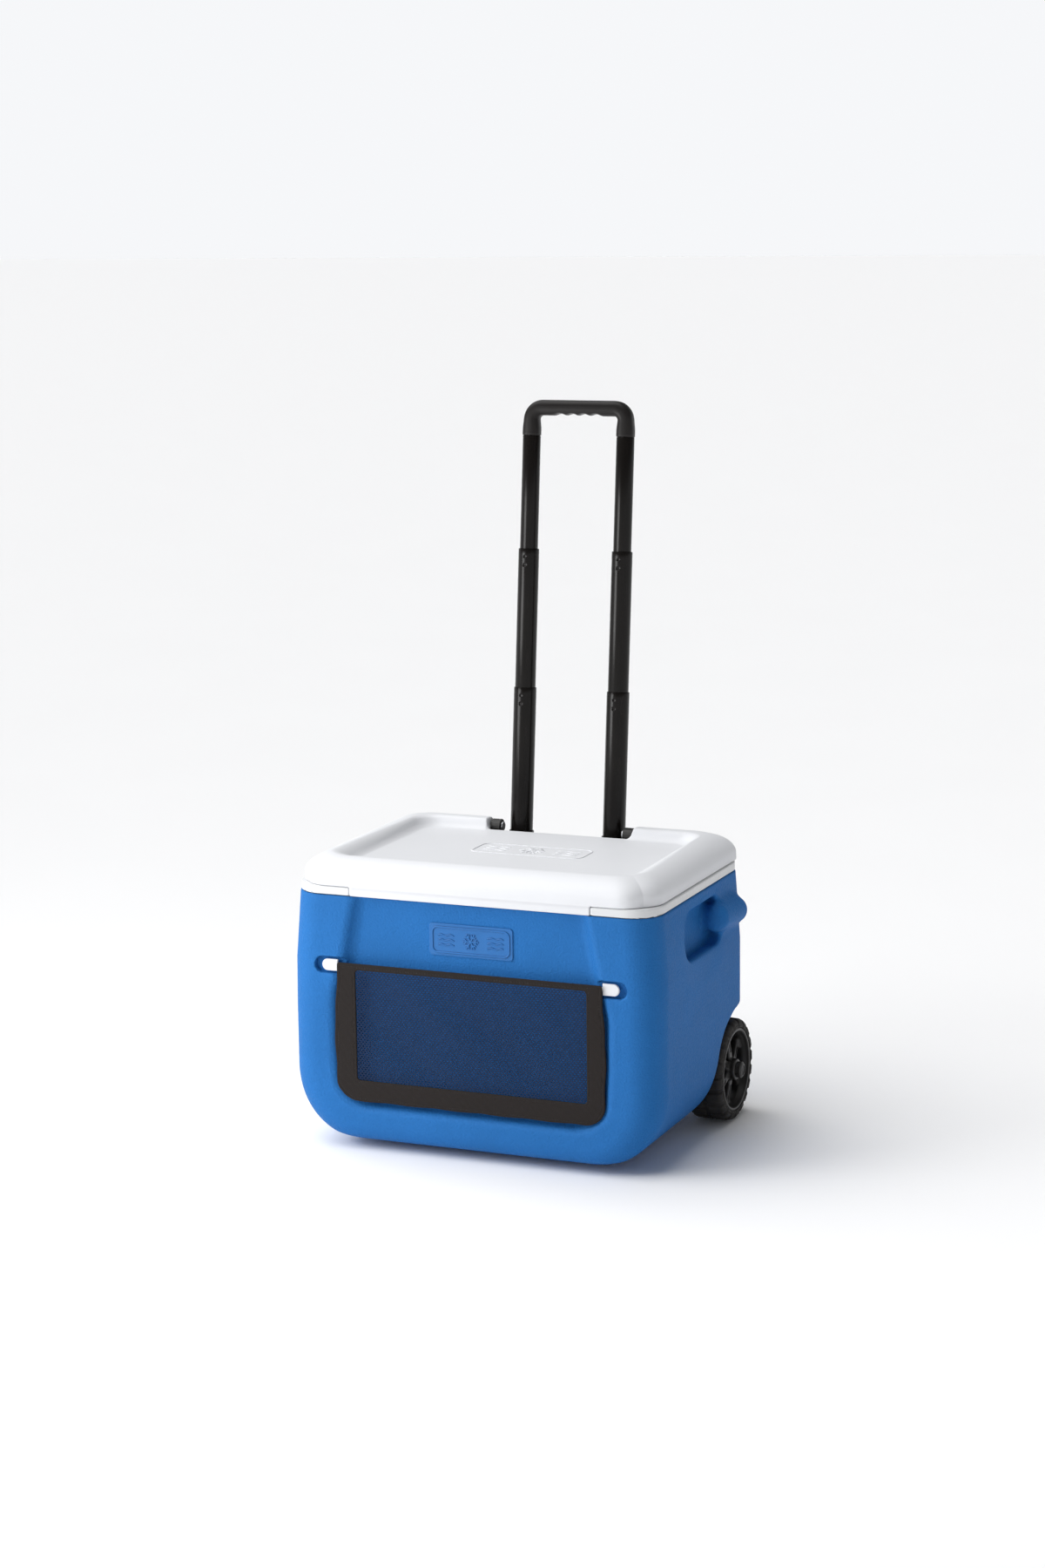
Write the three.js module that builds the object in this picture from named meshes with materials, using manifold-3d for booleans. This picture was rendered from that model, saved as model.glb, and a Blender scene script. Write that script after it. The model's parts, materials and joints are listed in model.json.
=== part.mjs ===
// A 50-quart cooler on wheels: an insulated tub with a hinged lid, a three-stage telescopic handle
// behind it, two wheels on a through axle and a net pocket on the front.
// Millimetres, +Z up, +X to the object's right seen from the front, the front faces -Y.
// The origin is the middle of the whole object's footprint, on the ground.

import * as THREE from "three";
import { mergeVertices } from "three/addons/utils/BufferGeometryUtils.js";
import Module from "manifold-3d";

const wasm = await Module();
wasm.setup();

// ---------------------------------------------------------------- driving dimensions

const GAP = 0.3; // clearance between pieces that touch
const FAR = 400; // reach of a cutting tool past the piece it cuts
const ARC_STEP = THREE.MathUtils.degToRad(22.5); // one facet of a rounded outline
const SIDES = [
  ["left", -1],
  ["right", 1],
];

// Tub: a tapered box with large bottom side corners.
const TUB = {
  halfTop: 274, // half width under the collar
  half: 281, // half width at the widest
  flareZ: 270, // height from which the sides draw in to the collar
  frontTop: -221,
  front: -226.5,
  frontZ: 200, // height at which the front stands furthest out
  rear: 150,
  bottom: 6,
  top: 368, // underside of the collar
  sideRadius: 110, // bottom corners seen from the front
  footRadius: 34, // bottom front edge
  heelRadius: 22, // bottom rear edge
  frontCorner: 46,
  rearCorner: 34,
  wall: 4,
};
const RAMP = { start: -70, end: 60, rise: 26 }; // the underside climbs towards the wheels
const SEAM = 381; // top of the collar, where the lid rests

// Liner: the tub's inside.
const LINER = {
  halfTop: 250,
  halfFloor: 228,
  frontTop: -190,
  frontFloor: -178,
  rearTop: 95,
  rearFloor: 80,
  floor: 40,
  corner: 38,
  sideRadius: 70,
  frontFoot: 20, // radius of the floor's front edge
  rearFoot: 14,
  wall: 2.6,
  wellGap: 14, // what the liner keeps from the wheel wells
};

// Front recess that the pocket and the badge sit in, as half outlines from the top down: [x, z, radius].
const RECESS_EDGE = [
  [183, 400, 0],
  [183, 369, 0],
  [200, 275, 0],
  [213, 225, 30],
  [211, 136, 30],
  [206, 62, 38],
];
const RECESS_FLOOR = [
  [166, 400, 0],
  [166, 369, 0],
  [181, 275, 0],
  [196, 225, 30],
  [196, 136, 30],
  [192, 71, 32],
];
const RECESS_Y = -209.5;
const RECESS_SIDE_LOW = 100; // outline points below this height are on the recess's lower edge

// Lid.
const LID = {
  skin: 3,
  tray: 405, // floor of the shallow tray in the lid's top
  crest: 420, // top of the rims
  lipBottom: 368.4, // lower edge of the finger lip in the middle of the front
  lipHalf: 181,
  lipFront: -219,
  notchHalf: 113, // the handle's notch at the back
  notchTopHalf: 118,
  notchFront: 117.5,
  half: 274,
  corner: 52,
  cornerShrink: 0.45, // what a corner radius loses for each millimetre that the roll draws in
  rearCornerLess: 8,
};
// The lid's rolled edge from just above its bottom to its crest.
const LID_ROLL = [
  { z: 392, half: 274, front: -221, rear: 151.5 },
  { z: 400, half: 271, front: -217, rear: 151 },
  { z: 408, half: 263, front: -209, rear: 149 },
  { z: 415, half: 249, front: -196, rear: 144.5 },
  { z: 419, half: 236, front: -184, rear: 139 },
  { z: LID.crest, half: 228, front: -176, rear: 135.5 },
];
// The tray's walls, from its floor up and out past the crest.
const TRAY = [
  { z: LID.tray, half: 212, front: -160, rear: 112 },
  { z: LID.crest - 4, half: 221, front: -168, rear: 119 },
  { z: LID.crest + 20, half: 229, front: -178, rear: 127 },
];
const TRAY_CORNER = 30;
// The panel that closes the lid from below: a shallow pan that plugs the tub, with a flange.
const PANEL = { bottom: 366, clearance: 4, wall: 2.5, flangeLow: 0.2, flangeHigh: 2.8 };
const HINGE = {
  y: 134,
  z: 407,
  pin: 4, // radius
  head: 2.5, // how far the pin's head stands out round it
  boss: 4, // wall of the lid's bosses round the pin
  knuckle: 10.5,
  clear: 25.4, // radius of the lid's lower rear edge about the hinge
  from: 98,
  to: 112,
  pinEnd: 136,
  base: SEAM + 4,
  footRear: 28,
  plate: 3, // thickness of the bracket's foot
};

// Handle: tubes that lean back, measured along their own axis from a point level with the tray.
const LEAN = Math.atan(0.0993);
const MAST = { x: 74, y: 152.8, z: 401 };
// Each stage slides down into the one below it, the lower two by 201 and the upper one by 162.
const LAP = 30; // length of each tube that stays inside the next one
const STAGES = [
  { name: "lower", radius: 16.75, bore: 15.7, bottom: -LAP, top: 212 },
  { name: "middle", radius: 15.3, bore: 13.7, bottom: 212 - LAP, top: 418 },
  { name: "upper", radius: 13.3, bore: 11.5, bottom: 418 - LAP, top: 584.7 },
];
const SLEEVE = { radius: 18.75, bore: 17.15, bottom: -275, top: -2 };
const PLUG_HEIGHT = 10;
const PIN = { radius: 2.8, hole: 3.2, up: 6, length: 7, sink: 0.3 };
const GRIP = {
  tube: 13.3,
  depth: 12,
  start: 585,
  centre: 626,
  height: 22,
  corner: 23,
  inside: 9, // radius under the bar
  spigot: 11.2,
  spigotLength: 25,
  scallops: 4,
  scallop: 11.5, // radius
  scallopDrop: 9, // how far below the bar a scallop's centre is
  pitch: 18.5,
};

// Channel at the tub's back, and the black housing in it, square to the leaning tubes.
const CHANNEL = { half: 115, front: -22.3, bottom: -302 };
const HOUSING = {
  half: 112,
  front: -22,
  rear: 22,
  web: -17, // rear face of the plate between the towers
  boss: 22.5, // radius of the towers
  top: -19,
  bottom: -290,
  band: 26, // height of the solid band at the top
  foot: 9, // thickness of the foot
  corner: 6,
};
const SCREW = { shank: 1.9, head: 4, headHeight: 2.4, length: 8, x: 20, levels: [-75, -255] };

// Wheels and axle.
const WHEEL = { y: 107.5, z: 75, radius: 75, lug: 3, lugs: 20, inner: 224, outer: 282, rim: 61 };
const WELL = { inner: 220, radius: 84, roof: 162, shoulder: 174, shoulderFront: 82 };
const AXLE = { radius: 6, half: 287, tunnel: 6.4, tunnelWall: 9.6, capWall: 3.5 };
const HUB = {
  radius: 17,
  bore: 6.2,
  rimInner: 54,
  spokes: 6,
  spokeWidth: 13,
  spokeDepth: 16,
  spokeInset: 18, // from the wheel's outer face to the middle of a spoke
  washer: 12, // radius of the washers and of the axle's caps
};
const LUG_ANGLES = [0.06, 0.14, 0.56, 0.64]; // a lug's foot, top, top and foot, as shares of its pitch

// Side grips, moulded in the shell: a rounded bar in a finger hollow. The bar goes from rear to front.
const GRIP_BAR = [
  { x: 277.5, y: 103, z: 315, radius: 19.5 },
  { x: 275.5, y: 32, z: 319, radius: 20.5 },
];
const GRIP_HOLLOW = { inner: 257, front: -104, rear: 50, low: 280, high: 351, radius: 30 };

// Front pocket.
const POCKET = {
  front: -227.7,
  thickness: 3.2,
  windowLeft: -171.5,
  windowRight: 177.5,
  windowLow: 104.5,
  windowHigh: 264,
  top: 273.5,
  net: 1.4,
};
const POCKET_EDGE = [
  [199.7, 273.5, 0],
  [205.5, 180, 0],
  [203, 73, 30],
];
const BATTEN = { half: 224.7, z: 267.8, height: 17, back: -219.4, front: -223.4 };
const SOCKET = { centre: 212, reach: 236, height: 24, back: -216 };

// Badge on the recess floor, feet, and drain.
const BADGE = { half: 63, z: 315.5, height: 46, radius: 5, thickness: 1.5 };
const FEET = { x: 120, width: 60, front: -150, rear: -120 };
const DRAIN = {
  y: -60,
  z: 64,
  radius: 12,
  bore: 9,
  flange: 17, // radius of the sleeve's collar, the gasket and the cap
  seat: -262,
  inside: -196,
  collar: 3, // thicknesses, stacked outwards from the seat
  gasket: 1.8,
  cap: 4.2,
};

// ---------------------------------------------------------------- materials

const paint = (color, roughness, metalness = 0) =>
  new THREE.MeshStandardMaterial({ color, roughness, metalness });
const MATERIAL = {
  blue: paint(0x2369be, 0.5),
  white: paint(0xeef0f3, 0.4),
  foam: paint(0xe6dfc0, 0.9),
  black: paint(0x1e1916, 0.5),
  tube: paint(0x1a1614, 0.35, 0.3),
  grip: paint(0x2c2a2a, 0.8),
  tyre: paint(0x1c1916, 0.8),
  steel: paint(0xa8abae, 0.35, 1),
  net: paint(0x1b3562, 0.8),
  binding: paint(0x221e1c, 0.85),
};

// ---------------------------------------------------------------- solids

const cooler = new THREE.Group();

// A closed geometry as a manifold-3d solid.
function solid(geometry) {
  const bare = geometry.clone();
  for (const name of Object.keys(bare.attributes)) {
    if (name !== "position") bare.deleteAttribute(name);
  }
  const merged = mergeVertices(bare, 1e-4);
  const vertProperties = merged.attributes.position.array;
  const triVerts = new Uint32Array(merged.index.array);
  return new wasm.Manifold(new wasm.Mesh({ numProp: 3, vertProperties, triVerts }));
}

// Puts a solid into the group as a named mesh, under a parent of its own frame if one is given.
function piece(name, shape, material, parent = cooler) {
  const { numProp, vertProperties, triVerts } = shape.getMesh();
  const geometry = new THREE.BufferGeometry();
  const count = vertProperties.length / numProp;
  const positions = new Float32Array(count * 3);
  for (let i = 0; i < count; i += 1) {
    positions.set(vertProperties.subarray(i * numProp, i * numProp + 3), i * 3);
  }
  geometry.setAttribute("position", new THREE.BufferAttribute(positions, 3));
  geometry.setIndex(new THREE.BufferAttribute(triVerts, 1));
  geometry.computeVertexNormals();
  const mesh = new THREE.Mesh(geometry, material);
  mesh.name = name;
  parent.add(mesh);
  return mesh;
}

// The corners of a closed outline, each [x, y, radius], as points with the corners rounded.
function rounded(corners) {
  const points = [];
  corners.forEach(([x, y, radius], i) => {
    const here = new THREE.Vector2(x, y);
    if (!radius) {
      points.push(here);
      return;
    }
    const [bx, by] = corners[(i + corners.length - 1) % corners.length];
    const [ax, ay] = corners[(i + 1) % corners.length];
    const back = new THREE.Vector2(bx, by).sub(here).normalize();
    const ahead = new THREE.Vector2(ax, ay).sub(here).normalize();
    const half = Math.acos(THREE.MathUtils.clamp(back.dot(ahead), -1, 1)) / 2;
    const centre = back.clone().add(ahead).normalize();
    centre.multiplyScalar(radius / Math.sin(half)).add(here);
    const start = back.multiplyScalar(radius / Math.tan(half)).add(here).sub(centre);
    const turn = Math.PI - 2 * half;
    const way = Math.sign(start.x * (y - centre.y) - start.y * (x - centre.x));
    const steps = Math.max(1, Math.round(turn / ARC_STEP));
    for (let k = 0; k <= steps; k += 1) {
      const at = start.clone().rotateAround(new THREE.Vector2(), (way * turn * k) / steps);
      points.push(at.add(centre));
    }
  });
  return points;
}

const rectangle = (x0, y0, x1, y1, radius = 0) =>
  rounded([
    [x0, y0, radius],
    [x1, y0, radius],
    [x1, y1, radius],
    [x0, y1, radius],
  ]);

// A half outline, given from the top down on the right, closed by its mirror image.
const mirrored = (half) =>
  rounded([...[...half].reverse(), ...half.map(([x, z, radius]) => [-x, z, radius])]);

// Which way an outline's own x, y and its extrusion point in the object.
const ALONG = {
  x: new THREE.Matrix4().makeBasis(
    new THREE.Vector3(0, 1, 0),
    new THREE.Vector3(0, 0, 1),
    new THREE.Vector3(1, 0, 0),
  ),
  y: new THREE.Matrix4().makeBasis(
    new THREE.Vector3(1, 0, 0),
    new THREE.Vector3(0, 0, 1),
    new THREE.Vector3(0, -1, 0),
  ),
  z: new THREE.Matrix4(),
};

// An outline extruded along an axis between two places on it.
function prism(points, axis, from, to, holes = []) {
  const shape = new THREE.Shape(points);
  shape.holes = holes.map((hole) => new THREE.Path(hole));
  const geometry = new THREE.ExtrudeGeometry(shape, { depth: to - from, bevelEnabled: false });
  geometry.translate(0, 0, axis === "y" ? -to : from);
  geometry.applyMatrix4(ALONG[axis]);
  return solid(geometry);
}

const block = (x0, x1, y0, y1, z0, z1) => prism(rectangle(x0, y0, x1, y1), "z", z0, z1);

// A cylinder along an axis, centred on the two other coordinates.
function rod(axis, u, v, radius, from, to, sides = 16) {
  const outline = [];
  for (let k = 0; k < sides; k += 1) {
    const angle = (2 * Math.PI * (k + 0.5)) / sides;
    outline.push(new THREE.Vector2(u + radius * Math.cos(angle), v + radius * Math.sin(angle)));
  }
  return prism(outline, axis, from, to);
}

// Rings of the same number of points, joined into a closed skin from the first to the last.
function loft(rings) {
  const count = rings[0].length;
  const positions = rings.flat().flatMap((p) => [p.x, p.y, p.z]);
  const index = [];
  for (let r = 0; r + 1 < rings.length; r += 1) {
    for (let k = 0; k < count; k += 1) {
      const a = r * count + k;
      const b = r * count + ((k + 1) % count);
      index.push(a, b, b + count, a, b + count, a + count);
    }
  }
  const flat = (ring) => {
    const u = new THREE.Vector3().subVectors(ring[1], ring[0]).normalize();
    const n = new THREE.Vector3();
    ring.forEach((p, k) => n.add(new THREE.Vector3().crossVectors(p, ring[(k + 1) % count])));
    const v = new THREE.Vector3().crossVectors(n.normalize(), u);
    return THREE.ShapeUtils.triangulateShape(
      ring.map((p) => new THREE.Vector2(p.dot(u), p.dot(v))),
      [],
    );
  };
  const last = (rings.length - 1) * count;
  flat(rings[0]).forEach(([a, b, c]) => index.push(a, c, b));
  flat(rings[rings.length - 1]).forEach(([a, b, c]) => index.push(last + a, last + b, last + c));
  const geometry = new THREE.BufferGeometry();
  geometry.setAttribute("position", new THREE.Float32BufferAttribute(positions, 3));
  geometry.setIndex(index);
  const made = solid(geometry);
  if (made.volume() > 0) return made;
  geometry.setIndex(index.reverse());
  return solid(geometry);
}

// A level ring: a rectangle with its own front and rear corner radii, wound from the rear left.
function levelRing({ z, half, front, rear, frontCorner, rearCorner }) {
  const points = rounded([
    [-half, front, frontCorner],
    [half, front, frontCorner],
    [half, rear, rearCorner],
    [-half, rear, rearCorner],
  ]);
  return points.map((p) => new THREE.Vector3(p.x, p.y, z));
}

// How far a rounded bottom edge has drawn in at a height above the bottom.
const drawnIn = (radius, up) =>
  up >= radius ? 0 : radius - Math.sqrt(radius ** 2 - (radius - up) ** 2);

// The heights above a bottom at which a rounded edge of this radius is sampled.
const BOTTOM_ANGLES = [0, 12, 24, 38, 54, 72, 90].map(THREE.MathUtils.degToRad);
const roundedHeights = (radius) => BOTTOM_ANGLES.map((angle) => radius * (1 - Math.cos(angle)));

// ---------------------------------------------------------------- tub

const between = (a, b, t) => a + (b - a) * THREE.MathUtils.clamp(t, 0, 1);

// The tub's envelope, drawn in by an inset on every side but the top.
function tubEnvelope(inset, top) {
  const bottom = TUB.bottom + inset;
  const side = TUB.sideRadius - inset;
  const heights = roundedHeights(side).map((up) => bottom + up);
  heights.push(TUB.frontZ, TUB.flareZ, top);
  const rings = heights.map((z) => {
    const up = z - bottom;
    const flare = (z - TUB.flareZ) / (TUB.top - TUB.flareZ);
    const swell = (z - TUB.frontZ) / (TUB.top - TUB.frontZ);
    return levelRing({
      z,
      half: between(TUB.half, TUB.halfTop, flare) - inset - drawnIn(side, up),
      front: between(TUB.front, TUB.frontTop, swell) + inset + drawnIn(TUB.footRadius - inset, up),
      rear: TUB.rear - inset - drawnIn(TUB.heelRadius - inset, up),
      frontCorner: TUB.frontCorner - inset,
      rearCorner: TUB.rearCorner - inset,
    });
  });
  return loft(rings);
}

// What is cut off below the climbing underside, raised by an inset.
function rampCut(inset) {
  const z0 = TUB.bottom + inset;
  const z1 = z0 + RAMP.rise;
  const below = [
    [RAMP.start, z0],
    [RAMP.end, z1],
    [FAR, z1],
    [FAR, -FAR],
    [RAMP.start, -FAR],
  ];
  return prism(below.map(([y, z]) => new THREE.Vector2(y, z)), "x", -FAR, FAR);
}

// The front recess as a cutter, grown by an inset so that walls behind it keep their thickness.
function recessCut(inset) {
  const ring = (half, y, out) =>
    mirrored(half.map(([x, z, r]) => [x + out, z < RECESS_SIDE_LOW ? z - out : z, r && r + out])).map(
      (p) => new THREE.Vector3(p.x, y, p.y),
    );
  return loft([
    ring(RECESS_EDGE, -FAR, inset),
    ring(RECESS_EDGE, TUB.front + inset, inset),
    ring(RECESS_FLOOR, RECESS_Y + inset, inset),
  ]);
}

// The wheel well on one side as a cutter: an arch round the wheel with a sloping shoulder above it.
function wellCut(sign, inset) {
  const radius = WELL.radius + inset;
  const steps = 8;
  const outline = [new THREE.Vector2(FAR, -FAR), new THREE.Vector2(FAR, WELL.shoulder + inset)];
  outline.push(new THREE.Vector2(TUB.rear + GAP, WELL.shoulder + inset));
  outline.push(new THREE.Vector2(WELL.shoulderFront, WELL.roof + inset));
  for (let k = 0; k <= steps; k += 1) {
    const angle = THREE.MathUtils.degToRad(between(118, 180, k / steps));
    outline.push(
      new THREE.Vector2(WHEEL.y + radius * Math.cos(angle), WHEEL.z + radius * Math.sin(angle)),
    );
  }
  outline.push(new THREE.Vector2(WHEEL.y - radius, -FAR));
  const from = WELL.inner - inset;
  return sign > 0 ? prism(outline, "x", from, FAR) : prism(outline, "x", -FAR, -from);
}

// Where a point on the handle's axis, offset square to it, lies in the Y-Z plane.
const onMast = (along, across) =>
  new THREE.Vector2(
    MAST.y + along * Math.sin(LEAN) + across * Math.cos(LEAN),
    MAST.z + along * Math.cos(LEAN) - across * Math.sin(LEAN),
  );

// The channel for the handle's housing as a cutter.
function channelCut(inset) {
  const front = CHANNEL.front - inset;
  const bottom = CHANNEL.bottom - inset;
  const outline = [onMast(bottom, front), onMast(bottom, FAR), onMast(FAR, FAR), onMast(FAR, front)];
  return prism(outline, "x", -CHANNEL.half - inset, CHANNEL.half + inset);
}

// The finger hollow of one side grip as a cutter.
function gripHollow(sign, inset) {
  const { inner, front, rear, low, high, radius } = GRIP_HOLLOW;
  const outline = rectangle(front - inset, low - inset, rear + inset, high + inset, radius + inset);
  const from = inner - inset;
  return sign > 0 ? prism(outline, "x", from, FAR) : prism(outline, "x", -FAR, -from);
}

// The bar in it: a round bar with domed ends.
function gripBar(sign) {
  const up = new THREE.Vector3(0, 1, 0);
  const [rear, front] = GRIP_BAR.map(({ x, y, z }) => new THREE.Vector3(sign * x, y, z));
  const [thick, thin] = GRIP_BAR.map(({ radius }) => radius);
  const along = new THREE.Vector3().subVectors(front, rear);
  const turn = new THREE.Quaternion().setFromUnitVectors(up, along.clone().normalize());
  const dome = (radius, at) =>
    solid(new THREE.SphereGeometry(radius, 12, 8).applyQuaternion(turn).translate(...at));
  const section = new THREE.CylinderGeometry(thin, thick, along.length(), 12);
  section.applyQuaternion(turn);
  const bar = solid(section.translate(...rear.clone().add(front).divideScalar(2)));
  return bar.add(dome(thick, rear)).add(dome(thin, front));
}

// Everything that dents the tub, for one inset.
function dents(inset) {
  const cuts = [rampCut(inset), recessCut(inset), channelCut(inset)];
  SIDES.forEach(([, sign]) => {
    cuts.push(wellCut(sign, inset), gripHollow(sign, inset), socketCut(sign, inset));
  });
  return cuts;
}

const tubBody = (inset, top) =>
  dents(inset).reduce((body, cut) => body.subtract(cut), tubEnvelope(inset, top));

// The liner's walls from its floor up, drawn out by an offset.
function linerBlock(offset, top) {
  const floor = LINER.floor - offset;
  const side = LINER.sideRadius + offset;
  const heights = roundedHeights(side).map((up) => floor + up);
  heights.push(top);
  const rings = heights.map((z) => {
    const t = (z - LINER.floor) / (SEAM - LINER.floor);
    const { lerp } = THREE.MathUtils;
    return levelRing({
      z,
      half: lerp(LINER.halfFloor, LINER.halfTop, t) + offset - drawnIn(side, z - floor),
      front: lerp(LINER.frontFloor, LINER.frontTop, t) - offset + drawnIn(LINER.frontFoot, z - floor),
      rear: lerp(LINER.rearFloor, LINER.rearTop, t) + offset - drawnIn(LINER.rearFoot, z - floor),
      frontCorner: LINER.corner + offset,
      rearCorner: LINER.corner + offset,
    });
  });
  const space = LINER.wellGap - offset;
  return SIDES.reduce((body, [, sign]) => body.subtract(wellCut(sign, space)), loft(rings));
}

const axleRod = (radius, half, sides) => rod("x", WHEEL.y, WHEEL.z, radius, -half, half, sides);

const drainRod = (radius, from, to, sides = 20) => rod("x", DRAIN.y, DRAIN.z, radius, from, to, sides);

// The round-ended socket for one end of the pocket's batten.
function socketCut(sign, inset) {
  const { centre, reach, height, back } = SOCKET;
  const ends = [sign * (2 * centre - reach), sign * reach].sort((a, b) => a - b);
  const half = height / 2 + inset;
  const low = [ends[0] - inset, BATTEN.z - half];
  const outline = rectangle(...low, ends[1] + inset, BATTEN.z + half, half - 0.01);
  return prism(outline, "y", -FAR, back + inset);
}

const screwPlaces = SCREW.levels.flatMap((level) => SIDES.map(([side, sign]) => ({ side, sign, level })));

// A rod square to the handle's axis, at a distance along it.
function crossRod(x, along, radius, from, to, sides = 12) {
  const geometry = new THREE.CylinderGeometry(radius, radius, to - from, sides);
  geometry.translate(0, (from + to) / 2, 0);
  geometry.rotateX(-LEAN);
  const at = onMast(along, 0);
  return solid(geometry.translate(x, at.x, at.y));
}

function addTub() {
  const cavity = tubBody(TUB.wall, TUB.top + TUB.wall)
    .subtract(axleRod(AXLE.tunnelWall, WELL.inner, 16))
    .subtract(drainRod(DRAIN.flange + TUB.wall, -FAR, DRAIN.seat + TUB.wall));
  let shell = tubBody(0, TUB.top);
  SIDES.forEach(([, sign]) => {
    const x = sign * FEET.x - FEET.width / 2;
    shell = shell.add(block(x, x + FEET.width, FEET.front, FEET.rear, 0, TUB.bottom + 1));
    shell = shell.add(gripBar(sign));
  });
  shell = shell
    .subtract(cavity)
    .subtract(axleRod(AXLE.tunnel, FAR, 16))
    .subtract(drainRod(DRAIN.flange + 2, -FAR, DRAIN.seat))
    .subtract(drainRod(DRAIN.radius + GAP, -FAR, DRAIN.inside));
  screwPlaces.forEach(({ sign, level }) => {
    const from = CHANNEL.front - SCREW.length;
    shell = shell.subtract(crossRod(sign * SCREW.x, level, SCREW.shank + GAP, from, 0));
  });
  piece("outer_shell", shell, MATERIAL.blue);

  const liner = linerBlock(LINER.wall, TUB.top + 2).subtract(linerBlock(0, SEAM + 2));
  const collar = tubEnvelope(1, SEAM)
    .subtract(block(-FAR, FAR, -FAR, FAR, -FAR, TUB.top + GAP))
    .subtract(linerBlock(0, SEAM + 2))
    .subtract(channelCut(0))
    .subtract(block(-LID.lipHalf - 3, LID.lipHalf + 3, -FAR, RECESS_Y + 3, 0, FAR * 2));
  const hole = drainRod(DRAIN.radius + GAP, -FAR, DRAIN.inside + 20);
  piece("inner_liner", liner.add(collar).subtract(hole), MATERIAL.white);

  const foam = tubBody(TUB.wall + GAP, TUB.top)
    .subtract(linerBlock(LINER.wall + GAP, FAR + TUB.top))
    .subtract(axleRod(AXLE.tunnelWall + GAP, FAR, 16))
    .subtract(drainRod(DRAIN.flange + TUB.wall + 2, -FAR, DRAIN.inside));
  piece("tub_foam", foam, MATERIAL.foam);
}

// ---------------------------------------------------------------- lid

// The lid's outside, drawn in by an inset.
function lidEnvelope(inset, bottom) {
  const crest = LID.crest - inset;
  const roll = [{ ...LID_ROLL[0], z: bottom, rear: LID_ROLL[0].rear - 1 }, ...LID_ROLL];
  const rings = roll.map(({ z, half, front, rear }) => {
    const corner = LID.corner - (LID.half - half) * LID.cornerShrink;
    return levelRing({
      z: z === bottom ? z : Math.min(z - inset / 2, crest),
      half: half - inset,
      front: front + inset,
      rear: rear - inset,
      frontCorner: corner - inset,
      rearCorner: corner - inset - LID.rearCornerLess,
    });
  });
  return loft(rings);
}

// The shallow tray in the lid's top: its floor runs out level into the notch at the back.
function trayCut(inset) {
  const rings = TRAY.map(({ z, half, front, rear }, k) =>
    levelRing({
      z: k ? z : z - inset,
      half: half + inset,
      front: front - inset,
      rear: rear + inset,
      frontCorner: TRAY_CORNER,
      rearCorner: TRAY_CORNER,
    }),
  );
  const side = LID.notchHalf + inset;
  const back = TRAY[0].rear - TRAY_CORNER;
  return loft(rings).add(block(-side, side, back, FAR, LID.tray - inset, LID.crest + 20));
}

// The notch that the handle stands in, with walls that open out upwards.
function notchCut(inset) {
  const top = LID.crest + 20;
  const rise = (top - LID.tray) * ((LID.notchTopHalf - LID.notchHalf) / (LID.crest - LID.tray));
  const wide = [LID.notchHalf + inset, LID.notchHalf + inset, LID.notchHalf + inset + rise];
  const rings = [PANEL.bottom - 20, LID.tray, top].map((z, k) =>
    rectangle(-wide[k], LID.notchFront - inset, wide[k], FAR).map(
      (p) => new THREE.Vector3(p.x, p.y, z),
    ),
  );
  return loft(rings);
}

// The lid's lower rear edge is rounded about the hinge, so that it swings clear of the collar.
function heelCut(inset) {
  const corner = block(-FAR, FAR, HINGE.y - inset, FAR, 0, HINGE.z);
  return corner.subtract(rod("x", HINGE.y, HINGE.z, HINGE.clear - inset, -FAR, FAR, 32));
}

const hingeRod = (radius, from, to, sides = 16) =>
  rod("x", HINGE.y, HINGE.z, radius, from, to, sides);

// The lip in the middle of the lid's front that a hand lifts.
function fingerLip(extra, top) {
  const half = LID.lipHalf + extra;
  return block(-half, half, LID.lipFront, RECESS_Y + extra, LID.lipBottom, top + extra);
}

const pinBore = (radius) => hingeRod(radius, -HINGE.pinEnd - 0.5, HINGE.pinEnd + 0.5);

function addLid() {
  const bottom = SEAM + 0.4;
  const skin = LID.skin;
  const hollow = lidEnvelope(skin, bottom - 5)
    .subtract(trayCut(skin))
    .subtract(notchCut(skin))
    .subtract(heelCut(skin))
    .subtract(hingeBosses());
  const lid = lidEnvelope(0, bottom)
    .subtract(trayCut(0))
    .subtract(notchCut(0))
    .subtract(heelCut(0))
    .subtract(hollow)
    .add(fingerLip(0, bottom + skin))
    .subtract(pinBore(HINGE.pin + GAP));
  piece("lid_top", lid, MATERIAL.white);

  const room = (inset, from, to) =>
    lidEnvelope(inset, SEAM - 5)
      .subtract(trayCut(inset))
      .subtract(notchCut(inset))
      .subtract(heelCut(inset))
      .subtract(hingeBosses(GAP))
      .subtract(fingerLip(GAP, bottom + skin))
      .intersect(block(-FAR, FAR, -FAR, FAR, from, to));
  const inset = skin + GAP;
  const plug = (offset, from, to) =>
    prism(
      rectangle(-LINER.halfTop + offset, LINER.frontTop + offset, LINER.halfTop - offset,
        LINER.rearTop - offset, LINER.corner - offset),
      "z",
      from,
      to,
    );
  const inside = PANEL.clearance + PANEL.wall;
  const panFloor = PANEL.bottom + PANEL.wall;
  const pan = plug(PANEL.clearance, PANEL.bottom, SEAM + 1).subtract(plug(inside, panFloor, FAR * 2));
  const flange = room(inset, bottom + PANEL.flangeLow, bottom + PANEL.flangeHigh);
  piece("lid_inner_panel", pan.add(flange.subtract(plug(inside, 0, FAR * 2))), MATERIAL.white);

  const foamLow = bottom + PANEL.flangeHigh + GAP;
  const filling = room(inset, foamLow, LID.crest).add(
    plug(inside + GAP, panFloor + GAP, foamLow + GAP),
  );
  piece("lid_foam", filling, MATERIAL.foam);
}

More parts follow.
